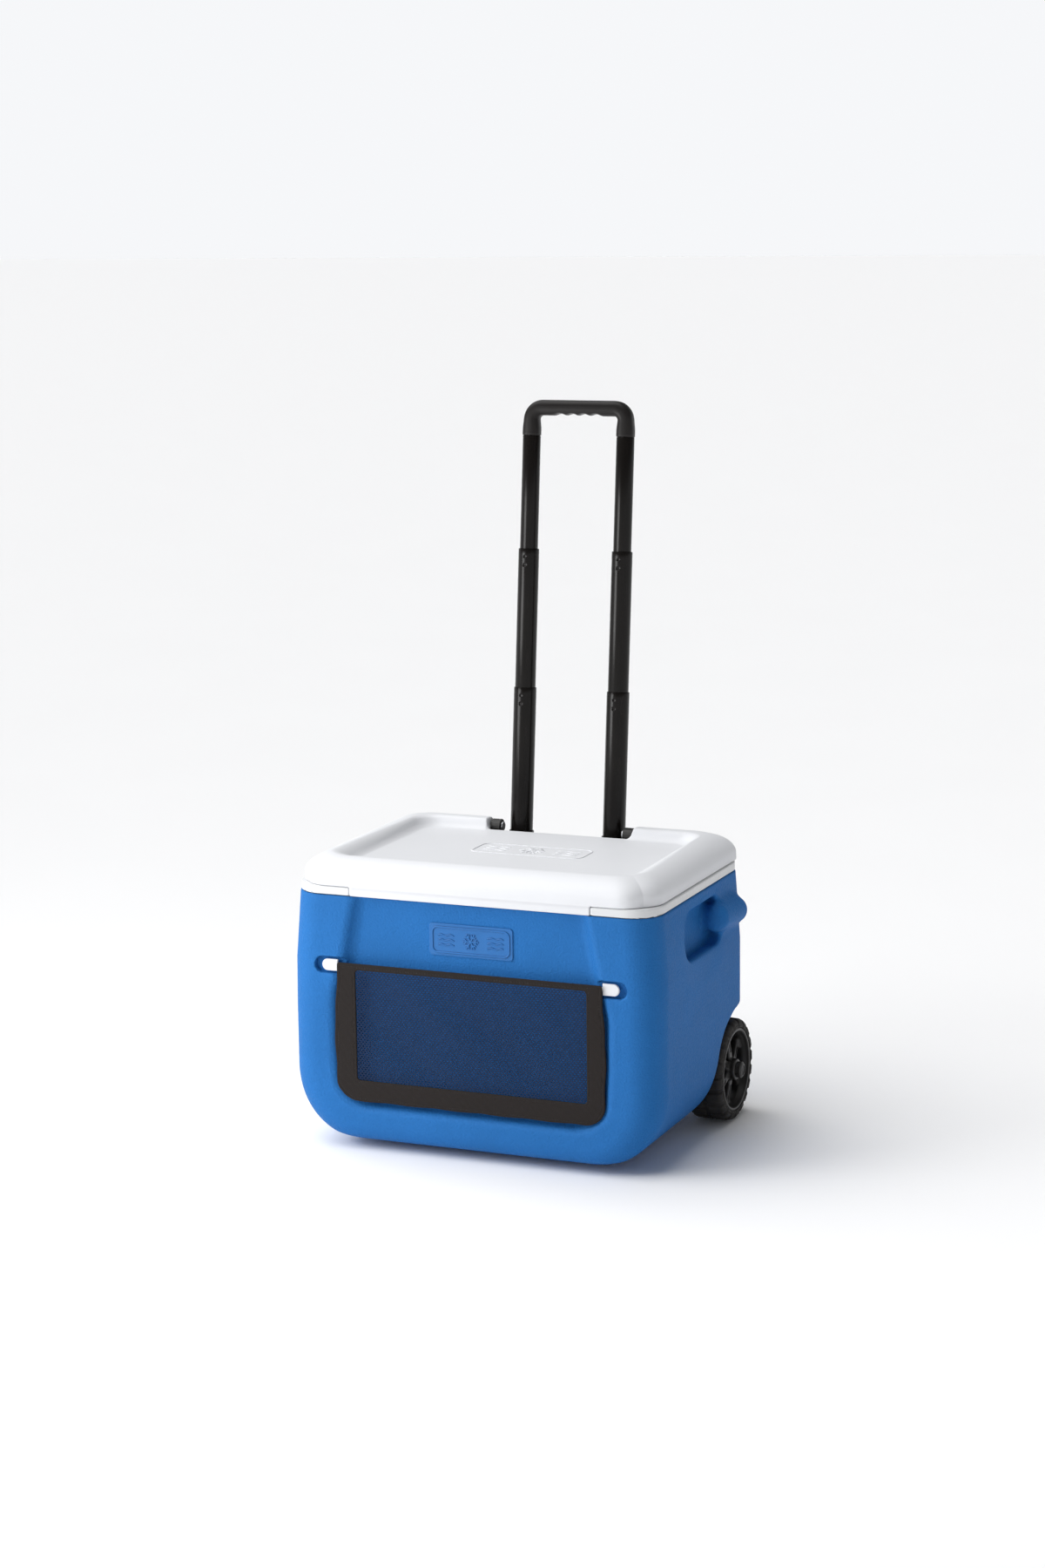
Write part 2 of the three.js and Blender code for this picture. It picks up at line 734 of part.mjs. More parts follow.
// The bosses of the lid's skin that hold the hinge pins' outer ends.
function hingeBosses(extra = 0) {
  const size = HINGE.pin + HINGE.boss + extra;
  const from = LID.notchHalf;
  const to = HINGE.pinEnd + HINGE.boss + extra;
  return hingeRod(size, from, to).add(hingeRod(size, -to, -from));
}

// ---------------------------------------------------------------- hinges

function addHinges() {
  SIDES.forEach(([side, sign]) => {
    const span = [sign * HINGE.from, sign * HINGE.to].sort((a, b) => a - b);
    const { y, z, base, footRear, plate, knuckle } = HINGE;
    const stem = block(...span, y - knuckle / 2, y + knuckle - 2, base, z);
    const foot = block(...span, y - knuckle / 2, y + footRear, base, base + plate);
    const bracket = hingeRod(knuckle, ...span)
      .add(stem)
      .add(foot)
      .subtract(hingeRod(HINGE.pin + GAP, -FAR, FAR));
    piece(`hinge_bracket_${side}`, bracket, MATERIAL.black);
    const ends = [sign * (HINGE.from - 1), sign * HINGE.pinEnd].sort((a, b) => a - b);
    const tip = sign > 0 ? ends[0] - 2 : ends[1];
    const head = hingeRod(HINGE.pin + HINGE.head, tip, tip + 2);
    piece(`hinge_pin_${side}`, hingeRod(HINGE.pin, ...ends).add(head), MATERIAL.steel);
  });
}

// ---------------------------------------------------------------- handle

// The handle's own frame: its Z runs up the tubes.
const mast = new THREE.Group();
mast.position.set(0, MAST.y, MAST.z);
mast.rotation.x = -LEAN;
cooler.add(mast);

const upright = (x, radius, from, to, sides = 16) => rod("z", x, 0, radius, from, to, sides);

function addHousing() {
  const { half, front, rear, web, boss, top, bottom, band, corner } = HOUSING;
  let housing = prism(rectangle(-half, front, half, web), "z", bottom, top);
  housing = housing.add(prism(rectangle(-half, front, half, rear, corner), "z", top - band, top));
  SIDES.forEach(([, sign]) => {
    const tower = upright(sign * MAST.x, boss, bottom, top);
    housing = housing.add(tower.intersect(block(-FAR, FAR, front, FAR, -FAR, FAR)));
  });
  SIDES.forEach(([side, sign]) => {
    const x = sign * MAST.x;
    housing = housing.subtract(upright(x, SLEEVE.radius + GAP, -FAR, FAR));
    const sleeve = upright(x, SLEEVE.radius, SLEEVE.bottom, SLEEVE.top).subtract(
      upright(x, SLEEVE.bore, -FAR, FAR),
    );
    piece(`sleeve_${side}`, sleeve.subtract(pinHole(x, -LAP + PIN.up)), MATERIAL.tube, mast);
  });
  const shank = (sign, level, radius, from, to) =>
    rod("y", sign * SCREW.x, level, radius, from, to, 12);
  screwPlaces.forEach(({ side, sign, level }, k) => {
    housing = housing.subtract(shank(sign, level, SCREW.shank + GAP, -FAR, FAR));
    const tip = web - SCREW.length;
    const screw = shank(sign, level, SCREW.shank, tip, web + 1).add(
      shank(sign, level, SCREW.head, web + GAP, web + GAP + SCREW.headHeight),
    );
    piece(`housing_screw_${side}_${k < 2 ? "upper" : "lower"}`, screw, MATERIAL.steel, mast);
  });
  piece("handle_housing", housing, MATERIAL.black, mast);
  const plate = rectangle(-half, front, half, rear, corner);
  const foot = prism(plate, "z", bottom - HOUSING.foot, bottom - GAP);
  piece("housing_foot", foot, MATERIAL.black, mast);
}

// The hole in an outer tube through which the inner tube's lock pin shows.
const pinHole = (x, level) => rod("y", x, level, PIN.hole, -FAR, 0, 12);

function addStages() {
  STAGES.forEach((stage, k) => {
    const next = STAGES[k + 1];
    SIDES.forEach(([side, sign]) => {
      const x = sign * MAST.x;
      const level = stage.bottom + PIN.up;
      let tube = upright(x, stage.radius, stage.bottom, stage.top).subtract(
        upright(x, stage.bore, -FAR, FAR * 3),
      );
      tube = tube.subtract(pinHole(x, level));
      if (next) tube = tube.subtract(pinHole(x, next.bottom + PIN.up));
      piece(`tube_${stage.name}_${side}`, tube, MATERIAL.tube, mast);

      const face = -(stage.radius - PIN.sink);
      const pocket = rod("y", x, level, PIN.hole, -FAR, face + PIN.length + 2, 12);
      const core = upright(x, stage.bore - GAP, stage.bottom + 0.5, stage.bottom + PLUG_HEIGHT);
      piece(`end_plug_${stage.name}_${side}`, core.subtract(pocket), MATERIAL.black, mast);

      const pin = rod("y", x, level, PIN.radius, face, face + PIN.length, 12);
      piece(`lock_pin_${stage.name}_${side}`, pin, MATERIAL.steel, mast);
    });
  });
}

// The grip: a bar that joins the upper tubes, with rounded shoulders and finger scallops below.
function addGrip() {
  const { tube, depth, start, centre, height, corner, inside, scallops, pitch } = GRIP;
  const top = centre + height / 2;
  const low = centre - height / 2;
  const out = MAST.x + tube;
  const inn = MAST.x - tube;
  const outline = rounded([
    [-out, start, 0],
    [-inn, start, 0],
    [-inn, low, inside],
    [inn, low, inside],
    [inn, start, 0],
    [out, start, 0],
    [out, top, corner],
    [-out, top, corner],
  ]);
  let grip = prism(outline, "y", -depth, depth);
  for (let k = 0; k < scallops; k += 1) {
    const x = (k - (scallops - 1) / 2) * pitch;
    grip = grip.subtract(rod("y", x, low - GRIP.scallopDrop, GRIP.scallop, -FAR, FAR, 20));
  }
  SIDES.forEach(([, sign]) => {
    const x = sign * MAST.x;
    grip = grip.add(upright(x, GRIP.spigot, start - GRIP.spigotLength, start + 1));
  });
  return grip;
}

function addHandle() {
  addHousing();
  addStages();
  piece("handle_grip", addGrip(), MATERIAL.grip, mast);
}

// ---------------------------------------------------------------- wheels

const hub = (sign, radius, from, to, sides) => {
  const span = [sign * from, sign * to].sort((a, b) => a - b);
  return rod("x", WHEEL.y, WHEEL.z, radius, ...span, sides);
};

function addWheel(side, sign) {
  const { radius, lug, lugs, inner, outer, rim } = WHEEL;
  const outline = [];
  for (let k = 0; k < lugs; k += 1) {
    LUG_ANGLES.forEach((part, j) => {
      const angle = (2 * Math.PI * (k + part)) / lugs;
      const r = j === 1 || j === 2 ? radius : radius - lug;
      outline.push(
        new THREE.Vector2(WHEEL.y + r * Math.cos(angle), WHEEL.z + r * Math.sin(angle)),
      );
    });
  }
  const span = [sign * inner, sign * outer].sort((a, b) => a - b);
  const tread = prism(outline, "x", ...span).subtract(rod("x", WHEEL.y, WHEEL.z, rim, -FAR, FAR, 24));
  piece(`tyre_${side}`, tread, MATERIAL.tyre);

  let wheel = hub(sign, rim - GAP, inner + 1, outer - 1, 24).subtract(
    hub(sign, HUB.rimInner, 0, FAR, 24),
  );
  wheel = wheel.add(hub(sign, HUB.radius, inner, outer, 16));
  for (let k = 0; k < HUB.spokes; k += 1) {
    const spoke = new THREE.BoxGeometry(HUB.spokeDepth, HUB.spokeWidth, rim - HUB.radius);
    spoke.translate(sign * (outer - HUB.spokeInset), 0, (rim + HUB.radius) / 2 - 2);
    spoke.rotateX((2 * Math.PI * k) / HUB.spokes);
    wheel = wheel.add(solid(spoke.translate(0, WHEEL.y, WHEEL.z)));
  }
  piece(`wheel_${side}`, wheel.subtract(axleRod(HUB.bore, FAR, 16)), MATERIAL.black);

  const washer = hub(sign, HUB.washer, WELL.inner + GAP, inner - GAP);
  piece(`washer_${side}`, washer.subtract(axleRod(AXLE.radius + GAP, FAR, 16)), MATERIAL.steel);
  const cap = hub(sign, HUB.washer, outer + GAP, AXLE.half + AXLE.capWall);
  const seat = axleRod(AXLE.radius + GAP, AXLE.half + GAP, 16);
  piece(`axle_cap_${side}`, cap.subtract(seat), MATERIAL.black);
}

// ---------------------------------------------------------------- pocket, badge, drain

function addPocket() {
  const back = POCKET.front + POCKET.thickness;
  const { windowLeft, windowRight, windowLow, windowHigh } = POCKET;
  const window = rectangle(windowLeft, windowLow, windowRight, windowHigh);
  const binding = prism(mirrored(POCKET_EDGE), "y", POCKET.front, back, [window]);
  piece("pocket_binding", binding, MATERIAL.binding);
  const middle = (POCKET.front + back) / 2;
  const net = prism(
    rectangle(windowLeft + GAP, windowLow + GAP, windowRight - GAP, windowHigh - GAP),
    "y",
    middle - POCKET.net / 2,
    middle + POCKET.net / 2,
  );
  piece("pocket_net", net, MATERIAL.net);
  const z = BATTEN.z;
  const reach = BATTEN.height / 2;
  const bar = rectangle(-BATTEN.half, z - reach, BATTEN.half, z + reach, reach - 0.1);
  piece("pocket_batten", prism(bar, "y", BATTEN.front, BATTEN.back), MATERIAL.white);
}

function addBadge() {
  const { half, z, height, radius, thickness } = BADGE;
  const plate = rectangle(-half, z - height / 2, half, z + height / 2, radius);
  const face = RECESS_Y - GAP;
  piece("front_badge", prism(plate, "y", face - thickness, face), MATERIAL.blue);
}

function addDrain() {
  const { radius, bore, flange, seat, inside } = DRAIN;
  const hole = drainRod(bore, -FAR, FAR, 16);
  const collarFace = seat - DRAIN.collar;
  const gasketFace = collarFace - DRAIN.gasket;
  const sleeve = drainRod(radius, seat - GAP, inside)
    .add(drainRod(flange, collarFace, seat - GAP))
    .subtract(hole);
  piece("drain_sleeve", sleeve, MATERIAL.black);
  const gasket = drainRod(flange, gasketFace, collarFace - GAP).subtract(hole);
  piece("drain_gasket", gasket, MATERIAL.grip);
  const cap = drainRod(flange, gasketFace - DRAIN.cap, gasketFace - GAP).add(
    drainRod(bore - GAP * 2, gasketFace - DRAIN.cap / 2, inside - 4, 16),
  );
  piece("drain_plug", cap, MATERIAL.black);
}

// ---------------------------------------------------------------- assembly

addTub();
addLid();
addHinges();
addHandle();
SIDES.forEach(([side, sign]) => addWheel(side, sign));
piece("axle", axleRod(AXLE.radius, AXLE.half, 16), MATERIAL.steel);
addPocket();
addBadge();
addDrain();

export default cooler;
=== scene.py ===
"""A cooler on wheels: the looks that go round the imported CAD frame. Metres, +Z up, the front faces -Y."""

import json
import math
from types import SimpleNamespace as Sizes

import bmesh
import bpy
import numpy as np
import openvdb
from mathutils import Matrix, Vector


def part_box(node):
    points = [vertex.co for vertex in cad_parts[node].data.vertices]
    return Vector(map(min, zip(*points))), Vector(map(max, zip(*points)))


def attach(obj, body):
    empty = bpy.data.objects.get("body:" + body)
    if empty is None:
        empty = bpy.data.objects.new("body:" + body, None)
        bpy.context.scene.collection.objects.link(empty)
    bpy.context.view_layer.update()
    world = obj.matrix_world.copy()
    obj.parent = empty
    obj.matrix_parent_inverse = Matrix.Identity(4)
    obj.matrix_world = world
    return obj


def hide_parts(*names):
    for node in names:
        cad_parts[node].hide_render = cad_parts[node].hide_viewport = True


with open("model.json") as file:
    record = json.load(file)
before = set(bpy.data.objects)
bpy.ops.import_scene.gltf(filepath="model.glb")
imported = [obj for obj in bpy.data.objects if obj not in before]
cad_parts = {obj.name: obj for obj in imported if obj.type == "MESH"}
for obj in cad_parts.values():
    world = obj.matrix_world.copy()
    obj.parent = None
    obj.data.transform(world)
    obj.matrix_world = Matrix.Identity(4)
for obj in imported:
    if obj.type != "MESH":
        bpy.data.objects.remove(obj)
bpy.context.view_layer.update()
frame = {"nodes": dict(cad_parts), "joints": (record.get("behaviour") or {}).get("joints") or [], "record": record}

# ---------------------------------------------------------------- the frame's own sizes

JOINTS = {joint["name"]: joint for joint in frame["joints"]}
SIDES = (("left", -1), ("right", 1))
STAGES = ("lower", "middle", "upper")


def middle(node):
    """The middle of a CAD node's box, as an array."""
    low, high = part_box(node)
    return np.array((low + high) / 2)


UP = np.array(JOINTS["handle_lower_slide"]["axis"])  # along the leaning handle
ACROSS = np.cross(UP, (1, 0, 0))  # square to it, towards the rear
WHEEL_AT = middle("tyre_right")
WHEEL_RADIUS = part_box("tyre_right")[1].y - WHEEL_AT[1]
HINGE_AT = JOINTS["lid_hinge"]["pos_m"]
DRAIN_AT = middle("drain_sleeve")
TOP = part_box("inner_liner")[1].z  # the seam that the lid rests on
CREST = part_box("lid_top")[1].z

# ---------------------------------------------------------------- driving dimensions

GAP = 0.0003  # clearance between pieces that touch
FINE, CRISP, EASED, SOFT, FULL = 0.0006, 0.001, 0.002, 0.003, 0.006  # roundings that many edges share

TUB = Sizes(half_top=0.274, half=0.281, flare=0.27, front_top=-0.221, front=-0.2265, front_z=0.2,
            rear=0.15, bottom=0.006, top=0.368, side_radius=0.11, foot_radius=0.034, heel_radius=0.022,
            front_corner=0.046, rear_corner=0.034, corner_from=0.02, corner_to=0.12, wall=0.004,
            rim=0.0015)
RAMP = Sizes(start=-0.075, end=0.055, rise=0.026, round=0.016)
# The recess's half width at some heights, and how steep its slanted walls are.
RECESS_HALF = ((0.062, 0.206), (0.136, 0.211), (0.225, 0.213), (0.275, 0.2), (0.369, 0.183), (0.4, 0.183))
RECESS = Sizes(y=-0.2095, low=0.062, slope=0.017, lift=0.009, corner=0.036, fillet=0.006, edge=0.005,
               side_steep=0.75, low_steep=0.88)
SOCKET = Sizes(centre=0.212, z=0.2678, radius=0.012, back=-0.216, edge=0.0012)
WELL = Sizes(inner=0.22, radius=0.084, roof=0.162, rise=0.176, rise_from=0.082, edge=0.005)
CHANNEL = Sizes(half=0.115, front=-0.0223, bottom=-0.302, corner=0.004)
GRIP_HOLLOW = Sizes(inner=0.257, front=-0.104, rear=0.05, low=0.28, high=0.351, radius=0.03,
                    steep=0.85, fillet=0.007, edge=0.004)
SCOOP = Sizes(y=-0.03, z=0.285, length=0.095, height=0.055, depth=0.0022, flat=0.4, side=(0.25, 0.26))
GRIP_BAR = ((0.2775, 0.103, 0.315, 0.0195), (0.2755, 0.032, 0.319, 0.0205))  # (x, y, z, radius) balls
GRIP_BAR_FILLET = 0.012
AXLE = Sizes(hole=0.0064, tunnel=0.0096)
FEET = Sizes(x=0.12, half=0.03, y=-0.135, deep=0.015, corner=0.006, sunk=0.007, edge=0.0015)
DRAIN = Sizes(seat=-0.262, rim=0.019, hole=0.0123, shell_end=-0.2, liner_end=-0.17)
KNOB = Sizes(outer=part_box("drain_plug")[0].x, inner=-0.2671, end=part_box("drain_plug")[1].x,
             radius=0.0168, edge=0.0008, stem=0.0084, stem_overlap=0.001, tip=0.0015, fillet=0.0005,
             bar=0.0026, dish=0.0021, dish_radius=0.0118, notch=0.0011, notches=18)
LINER = Sizes(half_top=0.25, half_floor=0.228, front_top=-0.19, front_floor=-0.178, rear_top=0.095,
              rear_floor=0.08, floor=0.04, corner=0.038, side_radius=0.07, foot=0.02, wall=0.0045,
              well_gap=0.014, under=0.002, collar_inset=0.001, collar_edge=0.0012, lip_deep=0.0012,
              lip_edge=0.0008)
LID = Sizes(half=0.2705, front=-0.221, rear=0.1515, rear_roll=0.016, corner=0.052, rear_corner=0.05,
            corner_gain=0.55, roll_out=0.046, roll_down=0.028, skin=0.003, bottom=0.3814,
            bottom_edge=0.0015, heel_edge=0.001, lip_half=0.181, lip_low=0.3684, lip_front=-0.2206,
            lip_gap=0.0009, lip_blend=0.002, lip_root=0.006, lip_edge=0.0015)
TRAY = Sizes(z=0.405, half=0.212, front=-0.16, rear=0.112, corner=0.03, slope=0.8, rear_slope=0.56,
             steep=0.78, fillet=0.006)
NOTCH = Sizes(half=0.113, front=0.1175, open=0.16, corner=0.004, run=0.03)
# The rounding of the tray's upper edge, and where it changes to the notch's.
CREST_EDGE = Sizes(front=0.014, rear=0.004, notch=0.0022, notch_y=(0.07, 0.1), notch_x=(0.128, 0.158))
PAN = Sizes(clearance=0.004, wall=0.0038, bottom=0.366, dish=0.0035, margin=0.035, edge=0.006,
            flange_low=0.3816, flange_high=0.3842)
HINGE = Sizes(clear=0.0254, boss=0.008, reach=0.14, wall=0.0035, bore=0.0043)
MAST_Z = 0.401  # the height at which a place along the handle is zero
HOUSING = Sizes(half=0.112, front=-0.022, rear=0.022, web=-0.017, tower=0.0225, top=-0.019,
                bottom=-0.29, band=0.026, bore=0.01905, corner=0.006, band_edge=0.0025, bore_edge=0.0008,
                rib_x=0.1, rib=0.0015, rib_rear=0.004, shelves=(-0.11, -0.165, -0.22), shelf_half=0.055,
                shelf_rear=-0.009, fillet=0.004, sunk=0.001, reach=0.0225)
TUBES = {  # (radius, bore, low end, high end)
    "lower": (0.01675, 0.0157, -0.03, 0.212),
    "middle": (0.0153, 0.0137, 0.182, 0.418),
    "upper": (0.0133, 0.0115, 0.388, 0.5847),
}
TUBE_EDGE = 0.0005
AXIS_RING = 0.0002  # radius of a turned piece's innermost ring
# The spring pins, and the lock hole and dimple above each, as (radius, depth).
PIN = Sizes(up=0.006, radius=0.0028, dome=0.0016, inset=0.0002, length=0.0075, hole=(0.0032, 0.0009),
            dimple=(0.0025, 0.0007), dimple_drop=0.0115)
GRIP = Sizes(start=0.585, centre=0.626, corner=0.0175, bar=0.0115, leg=0.0133, deep=0.0124, edge=2.7,
             leg_from=0.034, leg_to=0.012, loop=0.2, end_edge=0.0015, spigot=0.0112, spigot_from=0.56,
             spigot_overlap=0.004, scallop=0.0115, drop=0.0198, pitch=0.0185, count=4, scallop_edge=0.0025,
             half=0.0875, reach=0.013)
WHEEL = Sizes(inner=0.224, outer=0.282, rim=0.061, rim_inner=0.054, lug=0.003, lugs=20, skew=16,
              shoulder=0.007, hub=0.017, bore=0.0062, spokes=6, spoke=0.0062, spoke_from=0.256,
              spoke_to=0.272, rim_inset=0.001, rim_overlap=0.002, edge=0.0012, fillet=0.004)
TYRE = Sizes(lug_from=0.25, lug_to=0.75, groove=(0.002, 0.0045), groove_deep=0.8, crown=0.0012,
             lug_side=0.25, steep=0.8, ring=0.0665, ring_half=0.0012, ring_out=0.0005,
             ring_deep=0.0008, ring_edge=0.0005, edge=0.0015)
HUB_CAP_SEAT = 0.002
# The hub cap's outline from its rim inwards, as (in from the rim, back from the face).
HUB_CAP_FACE = ((0, 0.002), (0.002, 0.0004), (0.004, 0), (0.005, 0.001), (0.008, 0.001), (0.0095, 0.0002))
SPOKE = Sizes(taper=0.0015, taper_from=0.24, taper_to=0.28, flare=0.0025, flare_from=0.016,
              flare_to=0.026, root=0.003, root_from=0.04, root_to=0.056, dish=0.004, dish_from=0.018,
              dish_to=0.05, border=0.0035, sunk=0.0015, panel=0.037, panel_half=0.013, panel_edge=0.0008)
POCKET = Sizes(front=-0.2277, back=-0.2245, x=0.003, half=0.1745, low=0.1045, high=0.264, top=0.2735,
               bottom=0.073, corner=0.03, thread=0.0005, wave=0.0021)
NET = Sizes(pitch=0.0053, row=0.0031, hole_wide=0.68, hole_high=0.64)
# The net's slack waves: height, waves' rate, shares of x and z, and phase.
NET_WAVES = ((1, 38, 1, 0.9, 0), (0.7, 71, 1, 1.3, 1.1), (0.4, 23, -0.4, 1, 0))
NET_WAVES_HEIGHT = 1.6
TAPE_SIZE = Sizes(half_top=0.1997, half_mid=0.2055, mid_z=0.18, draw_in=0.0025, draw_z=0.07, reach=0.206,
                  window_corner=0.005, crown_wide=0.004, edge_share=0.62, edge=0.0008, seam=0.0045,
                  window_seam=0.0035, seam_half=0.0007, seam_deep=0.00035, wrinkle=0.00012,
                  slack=0.00015, sway=0.0006)
STITCH = Sizes(length=0.0042, share=0.78, radius=0.00033, proud=0.00045, dive=0.0004, half_mid=0.2053,
               half_low=0.203)
BATTEN = Sizes(half=0.2247, z=0.2678, height=0.017, back=-0.2194, front=-0.2234, slim_low=0.2655,
               slim_high=0.2705, slim_half=0.2, edge=0.0014)
BADGE = Sizes(half=0.063, z=0.3155, height=0.046, radius=0.005, back=-0.2098, front=-0.2113,
              margin=0.003, line=0.001, raised=0.0014, sunk=0.0005, motif_edge=0.0004, room=0.0015)
LID_EMBLEM = Sizes(x=0.01, y=-0.01, half=0.088, height=0.066, line=0.0013, raised=0.0009, sunk=0.0006,
                   room=0.0001)

# ---------------------------------------------------------------- fields

# A field is negative inside a shape and close to a distance near its surface.


def both(a, b, radius=0.0):
    """Where two shapes overlap, with the edge between them rounded."""
    inner = np.minimum(np.maximum(a, b), -radius)
    return inner + np.hypot(np.maximum(a + radius, 0), np.maximum(b + radius, 0))


def either(a, b, radius=0.0):
    """Two shapes joined, with a fillet between them."""
    return -both(-a, -b, radius)


def without(body, *cuts):
    """A shape with others cut out of it in turn: (shape, rounding of the edge) each."""
    for shape, radius in cuts:
        body = both(body, -shape, radius)
    return body


def plate(u, v, half_u, half_v, radius):
    """A rounded rectangle about the middle of its plane."""
    u, v = abs(u) - half_u + radius, abs(v) - half_v + radius
    outside = np.hypot(np.maximum(u, 0), np.maximum(v, 0))
    return outside + np.minimum(np.maximum(u, v), 0) - radius


def span(v, low, high):
    """A slab between two planes."""
    return abs(v - (low + high) / 2) - (high - low) / 2


def about(place, y, z):
    """The distance from an axis along X through a place."""
    return np.hypot(y - place[1], z - place[2])


def smooth_step(v, low, high):
    t = np.clip((v - low) / (high - low), 0, 1)
    return t * t * (3 - 2 * t)


def between(a, b, t):
    return a + (b - a) * np.clip(t, 0, 1)


def rounded_line(v, points, blur=0.012, count=400):
    """A line through (v, value) points with its corners softened."""
    at, value = np.array(points).T
    fine = np.linspace(at[0], at[-1], count)
    line = np.interp(fine, at, value)
    reach = max(1, int(blur / (fine[1] - fine[0])))
    kernel = np.hanning(2 * reach + 3)
    padded = np.pad(line, reach + 1, mode="edge")
    return np.interp(v, fine, np.convolve(padded, kernel / kernel.sum(), "valid"))


def cone(x, y, z, start, end):
    """A round bar between two (x, y, z, radius) balls."""
    a, b = np.array(start[:3]), np.array(end[:3])
    d = b - a
    t = np.clip(((x - a[0]) * d[0] + (y - a[1]) * d[1] + (z - a[2]) * d[2]) / d.dot(d), 0, 1)
    reach = np.sqrt((x - a[0] - t * d[0]) ** 2 + (y - a[1] - t * d[1]) ** 2 + (z - a[2] - t * d[2]) ** 2)
    return reach - (start[3] + t * (end[3] - start[3]))


# ---------------------------------------------------------------- meshes


def link(name, data):
    """A new object in the scene."""
    made = bpy.data.objects.new(name, data)
    bpy.context.scene.collection.objects.link(made)
    return made


def new_object(name, points, faces, smooth=True):
    mesh = bpy.data.meshes.new(name)
    mesh.from_pydata([tuple(p) for p in points], [], [tuple(f) for f in faces])
    mesh.validate()
    if smooth:
        mesh.shade_smooth()
    else:
        mesh.shade_flat()
    return link(name, mesh)


def piece(made, material, body, slot=None, replaces=()):
    """Gives a new object its material and body, and hides the CAD nodes it stands for. Its slot is not used."""
    made.data.materials.clear()
    made.data.materials.append(material)
    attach(made, body)
    if replaces:
        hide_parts(*replaces)
    return made


def slope(field, points, reach=0.0004):
    """The field's gradient at some points."""
    steps = np.eye(3) * reach
    sides = [(field(*(points + s).T) - field(*(points - s).T)) / (2 * reach) for s in steps]
    return np.stack(sides, axis=1)


def moulded(name, field, low, high, step, adaptivity=0.0, bend=0.003):
    """A mesh of the surface where field(x, y, z) is zero, found on a grid and then pulled onto the surface.
    Its point attributes "crest" and "hollow" say how sharply it bulges or dips over the length bend."""
    margin, settling, band = 2 * step, 4, 3 * step
    low, high = np.array(low, float) - margin, np.array(high, float) + margin
    axes = [np.arange(a, b + step, step) for a, b in zip(low, high)]
    x, y, z = np.meshgrid(*axes, indexing="ij", sparse=True)
    values = np.broadcast_to(field(x, y, z), [len(a) for a in axes])
    grid = openvdb.FloatGrid(band)
    grid.copyFromArray(np.clip(values, -band, band).astype(np.float32))
    points, triangles, quads = grid.convertToPolygons(isovalue=0.0, adaptivity=adaptivity)
    points = np.array(points, float) * step + low
    for _ in range(settling):
        gradient = slope(field, points)
        steep = np.maximum((gradient**2).sum(1), 0.05)
        move = gradient * (field(*points.T) / steep)[:, None]
        length = np.linalg.norm(move, axis=1, keepdims=True)
        points -= move * np.minimum(1, 0.5 * step / np.maximum(length, 1e-12))
    faces = [tuple(int(i) for i in f) for f in triangles] + [tuple(int(i) for i in f) for f in quads]
    made = new_object(name, points, faces)
    normals = slope(field, points)
    normals /= np.maximum(np.linalg.norm(normals, axis=1, keepdims=True), 1e-9)
    face_normals = np.zeros(len(made.data.polygons) * 3)
    made.data.polygons.foreach_get("normal", face_normals)
    first = np.array([p.vertices[0] for p in made.data.polygons])
    if (normals[first] * face_normals.reshape(-1, 3)).sum() < 0:
        made.data.flip_normals()
    made.data.normals_split_custom_set_from_vertices([tuple(n) for n in normals])
    around = sum(field(*(points + side * s).T) for s in np.eye(3) * bend for side in (-1, 1))
    curve = (around - 6 * field(*points.T)) / bend
    for label, value in (("crest", curve), ("hollow", -curve)):
        attribute = made.data.attributes.new(label, "FLOAT", "POINT")
        attribute.data.foreach_set("value", np.clip(value, 0, 1).astype(np.float32))
    return made


# ---------------------------------------------------------------- the tub's shell


def tub_envelope(x, y, z):
    """The tub without its dents, open upwards."""
    half = between(TUB.half, TUB.half_top, (z - TUB.flare) / (TUB.top - TUB.flare))
    front = between(TUB.front, TUB.front_top, (z - TUB.front_z) / (TUB.top - TUB.front_z))
    ramp = TUB.bottom + RAMP.rise * smooth_step(y, RAMP.start, RAMP.end)
    body = both(abs(x) - half, TUB.bottom - z, TUB.side_radius)
    body = both(body, ramp - z, RAMP.round)
    upper = smooth_step(z, TUB.corner_from, TUB.corner_to)
    body = both(body, front - y, between(TUB.foot_radius, TUB.front_corner, upper))
    return both(body, y - TUB.rear, between(TUB.heel_radius, TUB.rear_corner, upper))


def recess(x, y, z):
    """The front recess: slanted walls and a filleted floor."""
    depth = RECESS.y - y  # out from the recess's floor
    slant = np.clip(depth / RECESS.slope, -0.5, 1.5)
    half = rounded_line(z, RECESS_HALF) - RECESS.slope * (1 - slant)
    low = RECESS.low + RECESS.lift * (1 - slant)
    outline = both((abs(x) - half) * RECESS.side_steep, (low - z) * RECESS.low_steep, RECESS.corner)
    return both(outline, -depth, RECESS.fillet)


def socket(x, y, z):
    """The round-ended sockets for the ends of the pocket's batten."""
    along = np.maximum(abs(abs(x) - SOCKET.centre) - SOCKET.radius, 0)
    ring = np.hypot(along, z - SOCKET.z) - SOCKET.radius
    return both(ring, y - SOCKET.back, CRISP)


def well(x, y, z, gap=0.0):
    """The wheel wells: an arch round the wheel with a sloping shoulder above it."""
    roof = WELL.roof + WELL.rise * np.maximum(y - WELL.rise_from, 0)
    reach = WELL.radius + gap
    arch = both(WHEEL_AT[1] - reach - y, z - roof - gap, reach)
    return both(arch, WELL.inner - gap - abs(x), FULL)


def mast_origin():
    centre = middle("tube_lower_right")
    level = centre + UP * (MAST_Z - centre[2]) / UP[2]
    return np.array([0.0, level[1], level[2]])


MAST_AT = mast_origin()
MAST_X = middle("tube_lower_right")[0]


